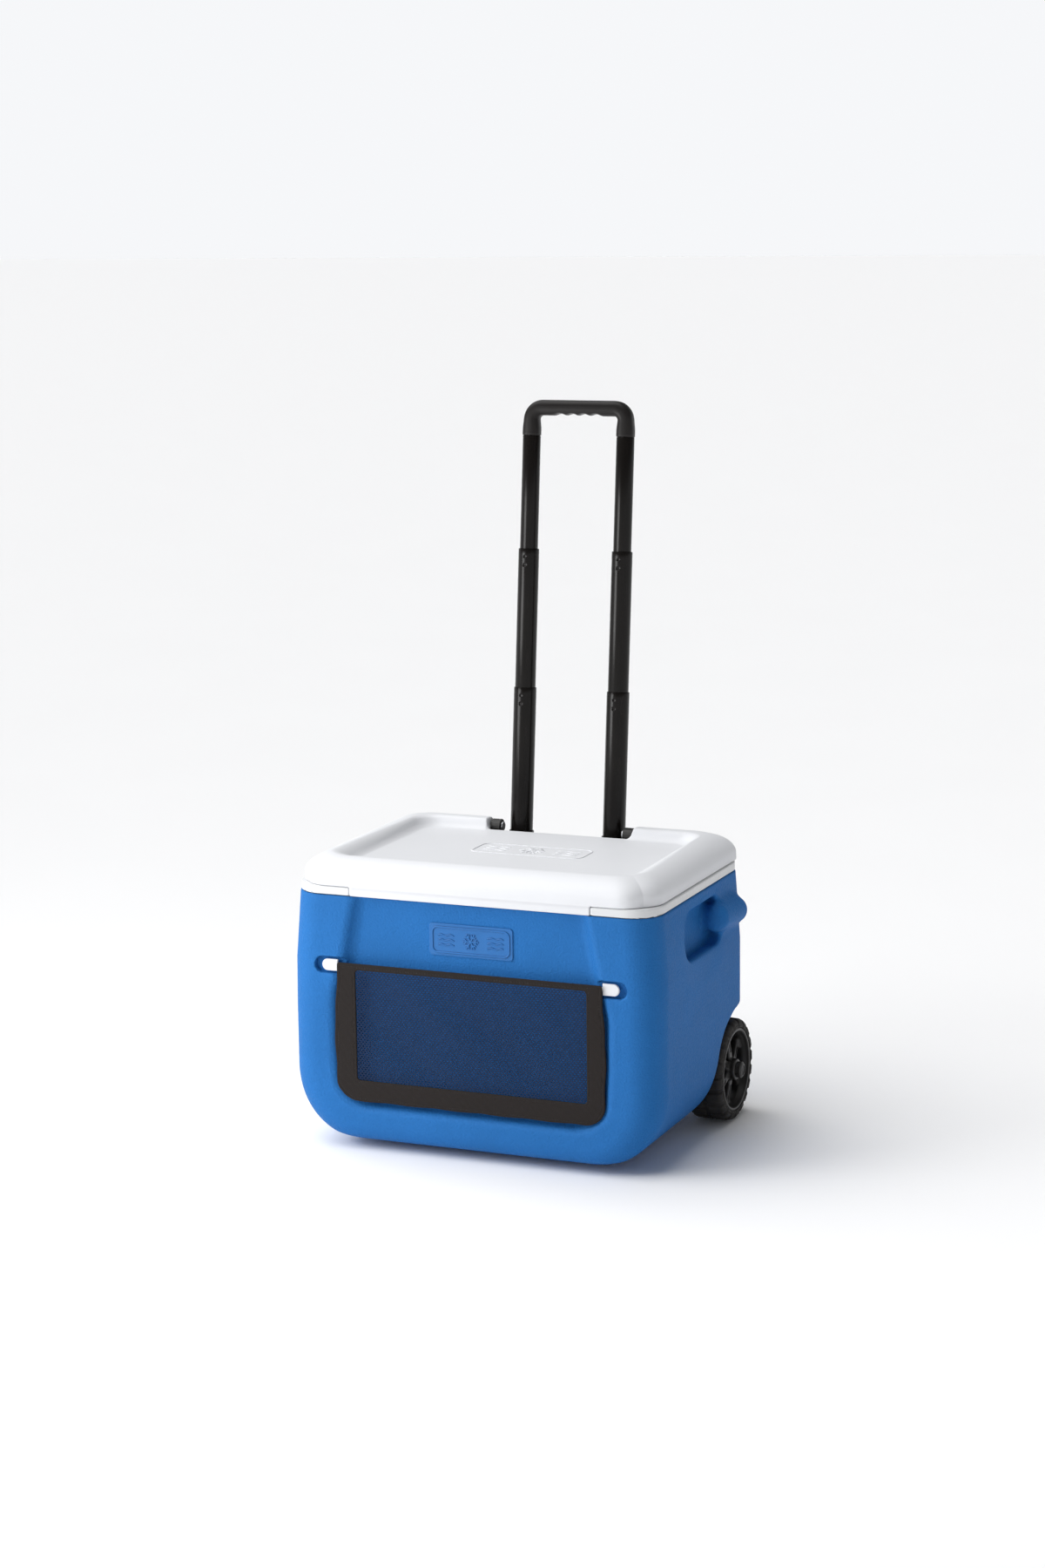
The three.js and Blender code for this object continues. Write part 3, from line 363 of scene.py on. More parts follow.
def mast(x, y, z):
    """Places as (x, across, along) on the handle, from where its axis is level with the lid's tray."""
    dy, dz = y - MAST_AT[1], z - MAST_AT[2]
    return x, dy * ACROSS[1] + dz * ACROSS[2], dy * UP[1] + dz * UP[2]


def channel(x, y, z):
    """The channel down the tub's back that the handle's housing sits in."""
    _, across, along = mast(x, y, z)
    slot = both(CHANNEL.front - across, CHANNEL.bottom - along, CHANNEL.corner)
    return both(slot, abs(x) - CHANNEL.half, CHANNEL.corner)


def grip_hollow(x, y, z):
    """The finger hollow on each side."""
    hollow = GRIP_HOLLOW
    centre_y, centre_z = (hollow.front + hollow.rear) / 2, (hollow.low + hollow.high) / 2
    half_y, half_z = (hollow.rear - hollow.front) / 2, (hollow.high - hollow.low) / 2
    outline = plate(y - centre_y, z - centre_z, half_y, half_z, hollow.radius)
    return both(outline * hollow.steep, hollow.inner - abs(x), hollow.fillet)


def grip_scoop(y, z):
    """How deep the shallow dent round the hollow is, for the back of a hand."""
    far = np.hypot((y - SCOOP.y) / SCOOP.length, (z - SCOOP.z) / SCOOP.height)
    return SCOOP.depth * (1 - smooth_step(far, SCOOP.flat, 1.0))


def dented_tub(x, y, z):
    """The tub's outside with its dents, still solid and open upwards."""
    body = tub_envelope(x, y, z) + grip_scoop(y, z) * smooth_step(abs(x), *SCOOP.side)
    return without(
        body,
        (recess(x, y, z), RECESS.edge),
        (socket(x, y, z), SOCKET.edge),
        (well(x, y, z), WELL.edge),
        (channel(x, y, z), EASED),
        (grip_hollow(x, y, z), GRIP_HOLLOW.edge),
    )


def shell(x, y, z):
    """The blow-moulded outer shell, hollow and open at the top."""
    dented = dented_tub(x, y, z)
    axle, drain = about(WHEEL_AT, y, z), about(DRAIN_AT, y, z)
    seat = both(drain - DRAIN.rim - TUB.wall, x - DRAIN.seat - TUB.wall)
    cavity = without(dented + TUB.wall, (axle - AXLE.tunnel, 0), (seat, 0))
    foot = plate(abs(x) - FEET.x, y - FEET.y, FEET.half, FEET.deep, FEET.corner)
    foot = both(foot, span(z, 0.0, TUB.bottom + FEET.sunk), FEET.edge)
    body = either(either(dented, foot, EASED), cone(abs(x), y, z, *GRIP_BAR), GRIP_BAR_FILLET)
    return without(
        both(body, z - TUB.top, TUB.rim),
        (cavity, 0),
        (axle - AXLE.hole, 0),
        (both(drain - DRAIN.rim, x - DRAIN.seat), CRISP),
        (both(drain - DRAIN.hole, x - DRAIN.shell_end), 0),
    )


def drain_knob(x, y, z):
    """The drain's plug: a notched head with a finger bar between two dishes, on a round stem."""
    dy, dz = y - DRAIN_AT[1], z - DRAIN_AT[2]
    radius, angle = np.hypot(dy, dz), np.arctan2(dz, dy)
    notch = KNOB.notch * smooth_step(np.cos(KNOB.notches * angle), 0.2, 0.9)
    head = both(radius + notch - KNOB.radius, span(x, KNOB.outer, KNOB.inner), KNOB.edge)
    dish = both(radius - KNOB.dish_radius, KNOB.bar - abs(dy), EASED)
    dish = both(dish, x - KNOB.outer - KNOB.dish, CRISP)
    stem = both(radius - KNOB.stem, span(x, KNOB.inner - KNOB.stem_overlap, KNOB.end), KNOB.tip)
    return either(without(head, (dish, FINE)), stem, KNOB.fillet)


# ---------------------------------------------------------------- the liner


def liner_block(x, y, z, offset):
    """The tub's inside, drawn out by an offset and open upwards."""
    t = (z - LINER.floor) / (TOP - LINER.floor)
    upper = smooth_step(z, LINER.floor, LINER.floor + LINER.side_radius)
    half = LINER.half_floor + (LINER.half_top - LINER.half_floor) * t + offset
    front = LINER.front_floor + (LINER.front_top - LINER.front_floor) * t - offset
    rear = LINER.rear_floor + (LINER.rear_top - LINER.rear_floor) * t + offset
    corner = between(LINER.foot, LINER.corner, upper) + offset
    body = both(abs(x) - half, LINER.floor - offset - z, LINER.side_radius + offset)
    body = both(both(body, front - y, corner), y - rear, corner)
    return without(body, (well(x, y, z, LINER.well_gap - offset), FULL))


def liner(x, y, z):
    """The white inside of the tub, with the collar that the lid rests on."""
    wall = both(liner_block(x, y, z, LINER.wall), z - TUB.top - LINER.under)
    collar = both(tub_envelope(x, y, z) + LINER.collar_inset, TUB.top + GAP - z)
    collar = both(collar, z - TOP, LINER.collar_edge)
    lip = both(abs(x) - LID.lip_half - LID.lip_gap, y - RECESS.y - LINER.lip_deep)
    collar = without(collar, (channel(x, y, z), EASED), (lip, LINER.lip_edge))
    drain = both(about(DRAIN_AT, y, z) - DRAIN.hole, x - DRAIN.liner_end)
    return without(either(wall, collar, EASED), (liner_block(x, y, z, 0), SOFT), (drain, 0))


# ---------------------------------------------------------------- the lid


def lid_envelope(x, y, z, inset=0.0):
    """The lid's outside: rolled over all round from its sides to its crest."""
    stretch = (LID.roll_out - inset) / (LID.rear_roll - inset)
    bend = LID.rear - LID.rear_roll
    y = np.where(y > bend, bend + (y - bend) * stretch, y)
    side, ahead, behind = abs(x) - LID.half, LID.front - y, y - bend - LID.roll_out
    deep = np.clip(-np.maximum(np.maximum(side, ahead), behind), 0, LID.roll_out)
    plan = both(side, ahead, LID.corner + LID.corner_gain * deep)
    plan = both(plan, behind, LID.rear_corner + LID.corner_gain * deep)
    out = np.maximum(plan + LID.roll_out, 0)
    rise = np.maximum(z - CREST + LID.roll_down, 0)
    across, down = LID.roll_out, LID.roll_down
    reach = np.maximum(np.hypot(out / across, rise / down), 1e-6)
    steep = np.maximum(np.hypot(out / across**2, rise / down**2) / reach, 1 / across)
    return (reach - 1) / steep + inset


def lid_tray(x, y, z):
    """The shallow tray in the lid's top, with a floor that runs out level into the notch."""
    up = z - TRAY.z
    plan = both(abs(x) - TRAY.half - TRAY.slope * up, TRAY.front - TRAY.slope * up - y, TRAY.corner)
    plan = both(plan, y - TRAY.rear - TRAY.rear_slope * up, TRAY.corner) * TRAY.steep
    run = both(abs(x) - NOTCH.half - NOTCH.open * up, TRAY.rear - NOTCH.run - y)
    return both(either(plan, run, SOFT), -up, TRAY.fillet)


def lid_notch(x, y, z):
    """The notch at the back that the handle stands in."""
    half = NOTCH.half + NOTCH.open * np.maximum(z - TRAY.z, 0)
    return both(abs(x) - half, NOTCH.front - y, NOTCH.corner)


def crest_round(x, y):
    """The rounding of the tray's upper edge: broad at the front, tight at the rear and by the notch."""
    rear = smooth_step(y, TRAY.front, TRAY.rear)
    notch = smooth_step(y, *CREST_EDGE.notch_y) * (1 - smooth_step(abs(x), *CREST_EDGE.notch_x))
    return between(between(CREST_EDGE.front, CREST_EDGE.rear, rear), CREST_EDGE.notch, notch)


def lid_heel(y, z, inset=0.0):
    """What is cut off the lid's lower rear edge, so that it swings clear of the collar."""
    corner = np.maximum(HINGE_AT[1] - inset - y, z - HINGE_AT[2])
    return np.maximum(corner, HINGE.clear - inset - about(HINGE_AT, y, z))


def lid_block(x, y, z, inset):
    """The lid's outside with its tray, notch and heel, drawn in by an inset."""
    return without(
        lid_envelope(x, y, z, inset),
        (lid_tray(x, y, z) - inset, crest_round(x, y)),
        (lid_notch(x, y, z) - inset, 0),
        (lid_heel(y, z, inset), 0),
    )


def lid_skin(x, y, z):
    """The lid's white top, hollow below."""
    body = without(
        lid_envelope(x, y, z),
        (lid_tray(x, y, z), crest_round(x, y)),
        (lid_notch(x, y, z), SOFT),
        (lid_heel(y, z), LID.heel_edge),
    )
    boss = both(about(HINGE_AT, y, z) - HINGE.boss, abs(x) - HINGE.reach)
    cavity = without(lid_block(x, y, z, LID.skin), (boss, 0))
    blend = LID.lip_blend
    edge = LID.bottom_edge * smooth_step(abs(x), LID.lip_half - blend, LID.lip_half + blend)
    body = without(both(body, LID.bottom - z, edge), (cavity, 0))
    tongue = both(abs(x) - LID.lip_half, span(y, LID.lip_front, RECESS.y), CRISP)
    tongue = both(tongue, span(z, LID.lip_low, LID.bottom + LID.lip_root), LID.lip_edge)
    pin = both(about(HINGE_AT, y, z) - HINGE.bore, abs(x) - HINGE.reach + HINGE.wall)
    return without(either(body, tongue, EASED), (pin, 0))


def lid_pan(x, y, z):
    """The panel under the lid: a pan that plugs the tub, with a dished middle and a flange."""
    centre, deep = (LINER.front_top + LINER.rear_top) / 2, (LINER.rear_top - LINER.front_top) / 2
    out = plate(x, y - centre, LINER.half_top, deep, LINER.corner) + PAN.clearance
    dish = both(out + PAN.margin, z - PAN.bottom - PAN.dish, SOFT)
    pan = without(both(out, PAN.bottom - z, PAN.edge), (dish, SOFT))
    inset = LID.skin + GAP
    flange = without(
        both(lid_envelope(x, y, z, inset), PAN.flange_low - z),
        (lid_notch(x, y, z) - inset, 0),
        (lid_heel(y, z, inset), 0),
    )
    inside = both(out + PAN.wall, PAN.bottom + PAN.wall + PAN.dish - z)
    return both(without(either(pan, flange, CRISP), (inside, 0)), z - PAN.flange_high)


def tub_foam(x, y, z):
    """The foam between the shell and the liner."""
    body = both(dented_tub(x, y, z) + TUB.wall + GAP, z - TUB.top + GAP)
    return without(
        body,
        (liner_block(x, y, z, LINER.wall + GAP), 0),
        (about(WHEEL_AT, y, z) - AXLE.tunnel - GAP, 0),
        (both(about(DRAIN_AT, y, z) - DRAIN.rim - TUB.wall - GAP, x - DRAIN.liner_end), 0),
    )


def lid_foam(x, y, z):
    """The foam in the lid."""
    body = both(lid_block(x, y, z, LID.skin + GAP), PAN.flange_high + GAP - z)
    boss = both(about(HINGE_AT, y, z) - HINGE.boss - GAP, abs(x) - HINGE.reach - GAP)
    return without(body, (boss, 0))


# ---------------------------------------------------------------- the handle


def housing(x, y, z):
    """The black housing in the channel: two towers for the sleeves, joined by a plate and a top band."""
    x_tower = abs(x) - MAST_X
    _, across, along = mast(x, y, z)
    length = span(along, HOUSING.bottom, HOUSING.top)
    web = both(abs(x) - HOUSING.half, span(across, HOUSING.front, HOUSING.web), CRISP)
    tower = both(np.hypot(x_tower, across) - HOUSING.tower, HOUSING.front - across, EASED)
    band = plate(x, across, HOUSING.half, HOUSING.rear, HOUSING.corner)
    band = both(band, HOUSING.top - HOUSING.band - along, EASED)
    root = HOUSING.web - HOUSING.sunk
    rib = both(abs(abs(x) - HOUSING.rib_x) - HOUSING.rib, span(across, root, HOUSING.rib_rear), CRISP)
    for level in HOUSING.shelves:
        shelf = both(abs(along - level) - HOUSING.rib, abs(x) - HOUSING.shelf_half)
        rib = either(rib, both(shelf, span(across, root, HOUSING.shelf_rear), CRISP))
    body = either(either(web, tower, HOUSING.fillet), rib, EASED)
    body = either(both(body, length, CRISP), both(band, length, HOUSING.band_edge), SOFT)
    return without(body, (np.hypot(x_tower, across) - HOUSING.bore, HOUSING.bore_edge))


def grip(x, y, z):
    """The grip: a rounded bar on the two upper tubes, with finger scallops below it."""
    _, across, along = mast(x, y, z)
    loop = plate(x, along - GRIP.centre + GRIP.loop, MAST_X, GRIP.loop, GRIP.corner)
    leg = 1 - smooth_step(along, GRIP.centre - GRIP.leg_from, GRIP.centre - GRIP.leg_to)
    thick = GRIP.bar + (GRIP.leg - GRIP.bar) * leg
    section = (abs(loop / thick) ** GRIP.edge + abs(across / GRIP.deep) ** GRIP.edge) ** (1 / GRIP.edge)
    body = both((section - 1) * GRIP.bar, GRIP.start - along, GRIP.end_edge)
    for k in range(GRIP.count):
        place = (k - (GRIP.count - 1) / 2) * GRIP.pitch
        scallop = np.hypot(x - place, along - GRIP.centre + GRIP.drop) - GRIP.scallop
        body = without(body, (scallop, GRIP.scallop_edge))
    spigot = both(np.hypot(abs(x) - MAST_X, across) - GRIP.spigot, GRIP.spigot_from - along, CRISP)
    return either(body, both(spigot, along - GRIP.start - GRIP.spigot_overlap))


# ---------------------------------------------------------------- the wheels

WHEEL_MID, WHEEL_HALF = (WHEEL.inner + WHEEL.outer) / 2, (WHEEL.outer - WHEEL.inner) / 2


def wheel_place(x, y, z):
    """Places as (outward, radius, angle) about the axle."""
    return abs(x), about(WHEEL_AT, y, z), np.arctan2(z - WHEEL_AT[2], y - WHEEL_AT[1])


def tyre(x, y, z):
    """A tyre with two staggered rows of lugs and a groove between them."""
    out, radius, angle = wheel_place(x, y, z)
    off = out - WHEEL_MID
    side = np.sign(off)
    wave = np.cos(WHEEL.lugs * angle + side * math.pi / 2 + WHEEL.skew * off * side)
    groove = 1 - smooth_step(abs(off), *TYRE.groove)
    cut = WHEEL.lug * np.maximum(smooth_step(wave, TYRE.lug_from, TYRE.lug_to), groove * TYRE.groove_deep)
    tread = radius - WHEEL_RADIUS + TYRE.crown * (off / WHEEL_HALF) ** 2 + cut
    body = both(tread * TYRE.steep, abs(off) - WHEEL_HALF + TYRE.lug_side * cut, WHEEL.shoulder)
    ring = both(abs(radius - TYRE.ring) - TYRE.ring_half, abs(off) - WHEEL_HALF - TYRE.ring_out)
    ring = both(ring, WHEEL_HALF - TYRE.ring_deep - abs(off))
    return without(body, (ring, TYRE.ring_edge), (radius - WHEEL.rim, TYRE.edge))


def spoked_wheel(x, y, z):
    """A moulded wheel: a rim, a hub and six spokes, open between the spokes."""
    out, radius, angle = wheel_place(x, y, z)
    off = abs(out - WHEEL_MID)
    edge = WHEEL.rim_inner + SPOKE.flare * smooth_step(off, SPOKE.flare_from, SPOKE.flare_to)
    rim = both(radius - WHEEL.rim + GAP, edge - radius)
    rim = both(rim, off - WHEEL_HALF + WHEEL.rim_inset, WHEEL.edge)
    taper = SPOKE.taper * smooth_step(out, SPOKE.taper_from, SPOKE.taper_to)
    hub = both(radius - WHEEL.hub + taper, off - WHEEL_HALF, EASED)
    sector = 2 * math.pi / WHEEL.spokes
    turn = (angle + math.pi / 2 + sector / 2) % sector - sector / 2
    across, along = radius * np.sin(turn), radius * np.cos(turn)
    width = WHEEL.spoke + SPOKE.root * smooth_step(along, SPOKE.root_from, SPOKE.root_to)
    out = out + SPOKE.dish * smooth_step(radius, SPOKE.dish_from, SPOKE.dish_to)
    slab = both(abs(across) - width, span(out, WHEEL.spoke_from, WHEEL.spoke_to), EASED)
    face = both(abs(across) - width + SPOKE.border, WHEEL.spoke_to - SPOKE.sunk - out, CRISP)
    panel = both(face, abs(along - SPOKE.panel) - SPOKE.panel_half, EASED)
    slab = both(without(slab, (panel, SPOKE.panel_edge)), radius - WHEEL.rim + WHEEL.rim_overlap)
    return without(either(either(rim, slab, WHEEL.fillet), hub, WHEEL.fillet), (radius - WHEEL.bore, 0))


# ---------------------------------------------------------------- the front pocket and the badge


def tape_frame(x, y, z):
    """The pocket's binding: soft tape, crowned and turned over at its edges, round a straight window."""
    tape = TAPE_SIZE
    half = between(tape.half_mid, tape.half_top, (z - tape.mid_z) / (POCKET.top - tape.mid_z))
    half = half - tape.draw_in * (1 - smooth_step(z, tape.draw_z, tape.mid_z))
    sway = tape.sway * (np.sin(90 * x) + np.sin(110 * z))
    outer = both(abs(x) - half + sway, POCKET.bottom + sway - z, POCKET.corner)
    outer = both(outer, z - POCKET.top, SOFT)
    centre, half = (POCKET.low + POCKET.high) / 2, (POCKET.high - POCKET.low) / 2
    window = plate(x - POCKET.x, z - centre, POCKET.half, half, tape.window_corner)
    flat = without(outer, (window, 0))
    mid_y, deep = (POCKET.front + POCKET.back) / 2, (POCKET.back - POCKET.front) / 2
    inward = np.clip(-flat / tape.crown_wide, 0, 1)
    crown = tape.edge_share + (1 - tape.edge_share) * np.sqrt(1 - (1 - inward) ** 2)
    seam = np.exp(-((outer + tape.seam) / tape.seam_half) ** 2)
    seam = seam + np.exp(-((window - tape.window_seam) / tape.seam_half) ** 2)
    folds = np.sin(420 * x + 3 * np.sin(60 * z)) * np.sin(380 * z + 2 * np.sin(70 * x))
    thick = deep * crown - tape.seam_deep * seam + tape.wrinkle * folds - tape.slack
    return both(flat, abs(y - mid_y) - thick, tape.edge)


def batten(x, y, z):
    """The white strip behind the pocket's top edge, with rounded ends in the tub's sockets."""
    reach = BATTEN.height / 2
    along = np.maximum(abs(x) - BATTEN.half + reach, 0)
    ends = np.hypot(along, z - BATTEN.z) - reach
    waist = both(-span(z, BATTEN.slim_low, BATTEN.slim_high), abs(x) - BATTEN.slim_half)
    return both(without(ends, (waist, CRISP)), span(y, BATTEN.front, BATTEN.back), BATTEN.edge)


def snowflake(u, v, reach, width):
    """A plain six-armed snowflake, as a flat shape."""
    radius, angle = np.hypot(u, v), np.arctan2(v, u)
    sector = math.pi / 3
    turn = (angle + sector / 2) % sector - sector / 2
    along, across = radius * np.cos(turn), abs(radius * np.sin(turn))
    arm = both(across - width, along - reach)
    twig = abs((along - across * 0.8) - reach * 0.52) * 0.78 - width
    twig = both(twig, across - reach * 0.3)
    return np.minimum(arm, twig)


def emblem(u, v, half, height, line):
    """A rounded frame round a snowflake between two groups of wavy lines, as a flat shape."""
    ring = abs(plate(u, v, half - line * 2, height / 2 - line * 2, height * 0.2)) - line
    shape = np.minimum(ring, snowflake(u, v, height * 0.3, line * 0.9))
    for level in (-0.17, 0.0, 0.17):
        wave = abs(v - height * level - line * 0.9 * np.sin(abs(u) / (height * 0.055))) - line * 0.7
        wave = both(wave, abs(abs(u) - half * 0.62) - half * 0.2)
        shape = np.minimum(shape, wave)
    return shape


def badge(x, y, z):
    """The plate on the recess floor, with its motif raised."""
    v = z - BADGE.z
    base = plate(x, v, BADGE.half, BADGE.height / 2, BADGE.radius)
    base = both(base, span(y, BADGE.front, BADGE.back), FINE)
    motif = emblem(x, v, BADGE.half - BADGE.margin, BADGE.height - 2 * BADGE.margin, BADGE.line)
    deep = span(y, BADGE.front - BADGE.raised, BADGE.back - BADGE.sunk)
    return either(base, both(motif, deep, BADGE.motif_edge), BADGE.motif_edge)


def lid_emblem(x, y, z):
    """A low motif on the tray's floor."""
    mark = LID_EMBLEM
    motif = emblem(x - mark.x, y - mark.y, mark.half, mark.height, mark.line)
    return both(motif, span(z, TRAY.z - mark.sunk, TRAY.z + mark.raised), FINE)


# ---------------------------------------------------------------- materials


class Nodes:
    """A material's node tree, built by calls that take numbers or other nodes' outputs."""

    def __init__(self, name):
        self.material = bpy.data.materials.new(name)
        self.material.use_nodes = True
        self.tree = self.material.node_tree
        self.shader = self.tree.nodes["Principled BSDF"]

    def put(self, socket, value):
        if isinstance(value, bpy.types.NodeSocket):
            self.tree.links.new(value, socket)
        elif socket.type == "RGBA" and len(value) == 3:
            socket.default_value = (*value, 1)
        else:
            socket.default_value = value

    def add(self, kind, inputs=(), **settings):
        node = self.tree.nodes.new(kind)
        for key, value in settings.items():
            setattr(node, key, value)
        for key, value in dict(inputs).items():
            self.put(node.inputs[key], value)
        return node

    def place(self, scale=(1, 1, 1)):
        """Object coordinates, stretched along the axes."""
        where = self.add("ShaderNodeTexCoord").outputs["Object"]
        return self.add("ShaderNodeMapping", {"Vector": where, "Scale": scale}).outputs["Vector"]

    def noise(self, scale, detail=2.0, roughness=0.5, stretch=(1, 1, 1)):
        inputs = {"Vector": self.place(stretch), "Scale": scale, "Detail": detail, "Roughness": roughness}
        return self.add("ShaderNodeTexNoise", inputs).outputs["Fac"]

    def cells(self, scale):
        inputs = {"Vector": self.place(), "Scale": scale}
        return self.add("ShaderNodeTexVoronoi", inputs).outputs["Distance"]

    def ramp(self, value, low, high, out_low=0.0, out_high=1.0):
        inputs = {"Value": value, "From Min": low, "From Max": high, "To Min": out_low, "To Max": out_high}
        return self.add("ShaderNodeMapRange", inputs).outputs["Result"]

    def math(self, operation, a, b=0.0):
        return self.add("ShaderNodeMath", {0: a, 1: b}, operation=operation).outputs[0]

    def mix(self, share, a, b):
        node = self.add("ShaderNodeMix", {"Factor": share}, data_type="RGBA")
        self.put(node.inputs[6], a)
        self.put(node.inputs[7], b)
        return node.outputs[2]

    def where(self, attribute, share, base, colour):
        """Another colour where a mesh attribute is high."""
        value = self.add("ShaderNodeAttribute", attribute_name=attribute).outputs["Fac"]
        return self.mix(self.math("MULTIPLY", value, share), base, colour)

    def bump(self, height, distance, below=None):
        inputs = {"Height": height, "Distance": distance}
        if below is not None:
            inputs["Normal"] = below
        return self.add("ShaderNodeBump", inputs).outputs["Normal"]

    def finish(self, **inputs):
        for key, value in inputs.items():
            self.put(self.shader.inputs[key.replace("_", " ")], value)
        return self.material


def tinted(colour, gain, lift=0.0):
    return tuple(min(1.0, c * gain + lift) for c in colour)


def plastic(name, colour, rough, grain, depth, change=0.8, edge=0.15, sag=0.0004, gloss=0.5):
    """Moulded plastic: a fine grain, slow changes of tone, a painted highlight on its edges, painted shade in its
    dips and faint scuffs.
    """
    n = Nodes(name)
    base = n.mix(n.ramp(n.noise(9, 3), 0.35, 0.65), colour, tinted(colour, (1 + change) / 2))
    fine = n.noise(grain, 2, 0.6)
    base = n.mix(n.ramp(fine, 0.35, 0.65, 0.0, 0.35), base, tinted(colour, change))
    # Painted highlight: lighter where the surface bulges (the "crest" attribute), by the share edge.
    base = n.where("crest", edge, base, tinted(colour, 1.2, 0.03))
    # Painted shade: darker where the surface dips (the "hollow" attribute).
    base = n.where("hollow", 0.5, base, tinted(colour, 0.45))
    scuff = n.ramp(n.noise(60, 4, 0.7, (1, 1, 6)), 0.66, 0.8, 0.0, 0.12)
    roughness = n.math("ADD", n.ramp(fine, 0.3, 0.7, rough - 0.05, rough + 0.05), scuff)
    normal = n.bump(fine, depth, n.bump(n.noise(28, 2), sag))
    return n.finish(Base_Color=base, Roughness=roughness, Normal=normal, Specular_IOR_Level=gloss)


def coated_steel(name, colour, rough):
    """Powder-coated tube: satin black with a fine orange peel and rubbed lines along its length."""
    n = Nodes(name)
    peel = n.noise(1100, 2)
    rubbed = n.ramp(n.noise(240, 3, 0.6, (1, 1, 0.03)), 0.55, 0.75)
    base = n.mix(n.math("MULTIPLY", rubbed, 0.35), colour, tinted(colour, 2.2, 0.008))
    base = n.mix(n.ramp(n.noise(12, 3), 0.4, 0.7, 0.0, 0.4), base, tinted(colour, 1.5, 0.003))
    rough = n.ramp(peel, 0.3, 0.7, rough - 0.03, rough + 0.05)
    rough = n.math("ADD", rough, n.math("MULTIPLY", rubbed, -0.08))
    return n.finish(Base_Color=base, Roughness=rough, Normal=n.bump(peel, 0.00003), Specular_IOR_Level=0.2)


def plated_steel(name, colour=(0.55, 0.56, 0.58)):
    """Zinc-plated steel: fine turning marks, cloudy patches and painted shade in its dips."""
    n = Nodes(name)
    clouds = n.noise(180, 4, 0.6)
    marks = n.noise(900, 2, 0.5, (1, 1, 0.1))
    base = n.mix(n.ramp(clouds, 0.35, 0.65), colour, tinted(colour, 0.7))
    # Painted shade: darker where the surface dips.
    base = n.where("hollow", 0.5, base, tinted(colour, 0.25))
    rough = n.ramp(clouds, 0.3, 0.7, 0.28, 0.45)
    return n.finish(Base_Color=base, Roughness=rough, Normal=n.bump(marks, 0.00003), Metallic=1.0)


def rubber(name, colour, rough=0.82, grit=1300, dust=0.2):
    """Rubber: a dull fine grit, patches of pale dust, and a painted highlight on its edges."""
    n = Nodes(name)
    fine = n.noise(grit, 3, 0.65)
    base = n.mix(n.ramp(fine, 0.3, 0.7), tinted(colour, 0.75), tinted(colour, 1.25))
    spread = n.math("MULTIPLY", n.ramp(n.noise(45, 4, 0.6), 0.42, 0.7), dust)
    base = n.mix(spread, base, (0.11, 0.1, 0.09))
    # Painted highlight: lighter where the surface bulges.
    base = n.where("crest", 0.25, base, tinted(colour, 2.2, 0.01))
    rough = n.ramp(fine, 0.3, 0.7, rough - 0.07, rough + 0.07)
    normal = n.bump(fine, 0.00015, n.bump(n.noise(160, 3), 0.0003))
    return n.finish(Base_Color=base, Roughness=rough, Normal=normal)


def foam(name, colour):
    """Rigid foam: open cells, mottled and quite dull."""
    n = Nodes(name)
    cell = n.cells(520)
    base = n.mix(n.ramp(cell, 0.0, 0.6), tinted(colour, 0.75), colour)
    base = n.mix(n.ramp(n.noise(30, 3), 0.4, 0.65, 0.0, 0.5), base, tinted(colour, 0.88))
    rough = n.ramp(cell, 0.0, 0.7, 0.85, 0.95)
    return n.finish(Base_Color=base, Roughness=rough, Normal=n.bump(cell, 0.0006))


def woven(name, colour, threads, depth, sheen=0.3, fuzz_and_highlight=2.2):
    """Cloth in the X-Z plane: threads over and under each other, lighter loose fibres and uneven dye, and a
    painted highlight on its bulging edges. Threads per metre.
    """
    n = Nodes(name)
    where = n.add("ShaderNodeSeparateXYZ", {"Vector": n.place()})
    turn = 2 * math.pi * threads
    warp = n.math("SINE", n.math("MULTIPLY", where.outputs["X"], turn))
    weft = n.math("SINE", n.math("MULTIPLY", where.outputs["Z"], turn))
    weave = n.ramp(n.math("MULTIPLY", warp, weft), -1, 1)
    uneven = n.noise(420, 3, 0.6)
    base = n.mix(weave, tinted(colour, 0.7), tinted(colour, 1.35))
    base = n.mix(n.ramp(uneven, 0.5, 0.75, 0.0, 0.5), base, tinted(colour, fuzz_and_highlight, 0.004))
    # Painted highlight: lighter where the cloth bulges, by the same gain as the lighter random patches.
    base = n.where("crest", 0.3, base, tinted(colour, fuzz_and_highlight, 0.01))
    rough = n.ramp(uneven, 0.3, 0.7, 0.78, 0.92)
    normal = n.bump(weave, depth, n.bump(uneven, depth))
    return n.finish(Base_Color=base, Roughness=rough, Normal=normal, Sheen_Weight=sheen,
                    Sheen_Roughness=0.5, Specular_IOR_Level=0.2)


SHELL_BLUE = (0.021, 0.152, 0.44)
BLUE = plastic("blue_polyethylene", SHELL_BLUE, 0.52, 330, 0.0012, gloss=0.06)
BADGE_BLUE = plastic("blue_badge", SHELL_BLUE, 0.36, 1500, 0.00006, gloss=0.3)
WHITE = plastic("white_lid", (0.74, 0.75, 0.775), 0.5, 1500, 0.00005, 0.97, 0.1, 0.0002, gloss=0.2)
INNER_WHITE = plastic("white_liner", (0.70, 0.71, 0.72), 0.3, 1500, 0.00003, 0.96, sag=0.0002)
BLACK = plastic("black_polypropylene", (0.013, 0.012, 0.0115), 0.48, 1100, 0.00015, edge=0.5)
WHEEL_BLACK = plastic("black_wheel", (0.011, 0.010, 0.0095), 0.42, 1100, 0.00012, edge=0.5)
GRIP_BLACK = plastic("black_grip", (0.0100, 0.0084, 0.0080), 0.36, 1300, 0.00008, edge=0.3, gloss=0.22)
TYRE_BLACK = rubber("tyre", (0.012, 0.0105, 0.0095))
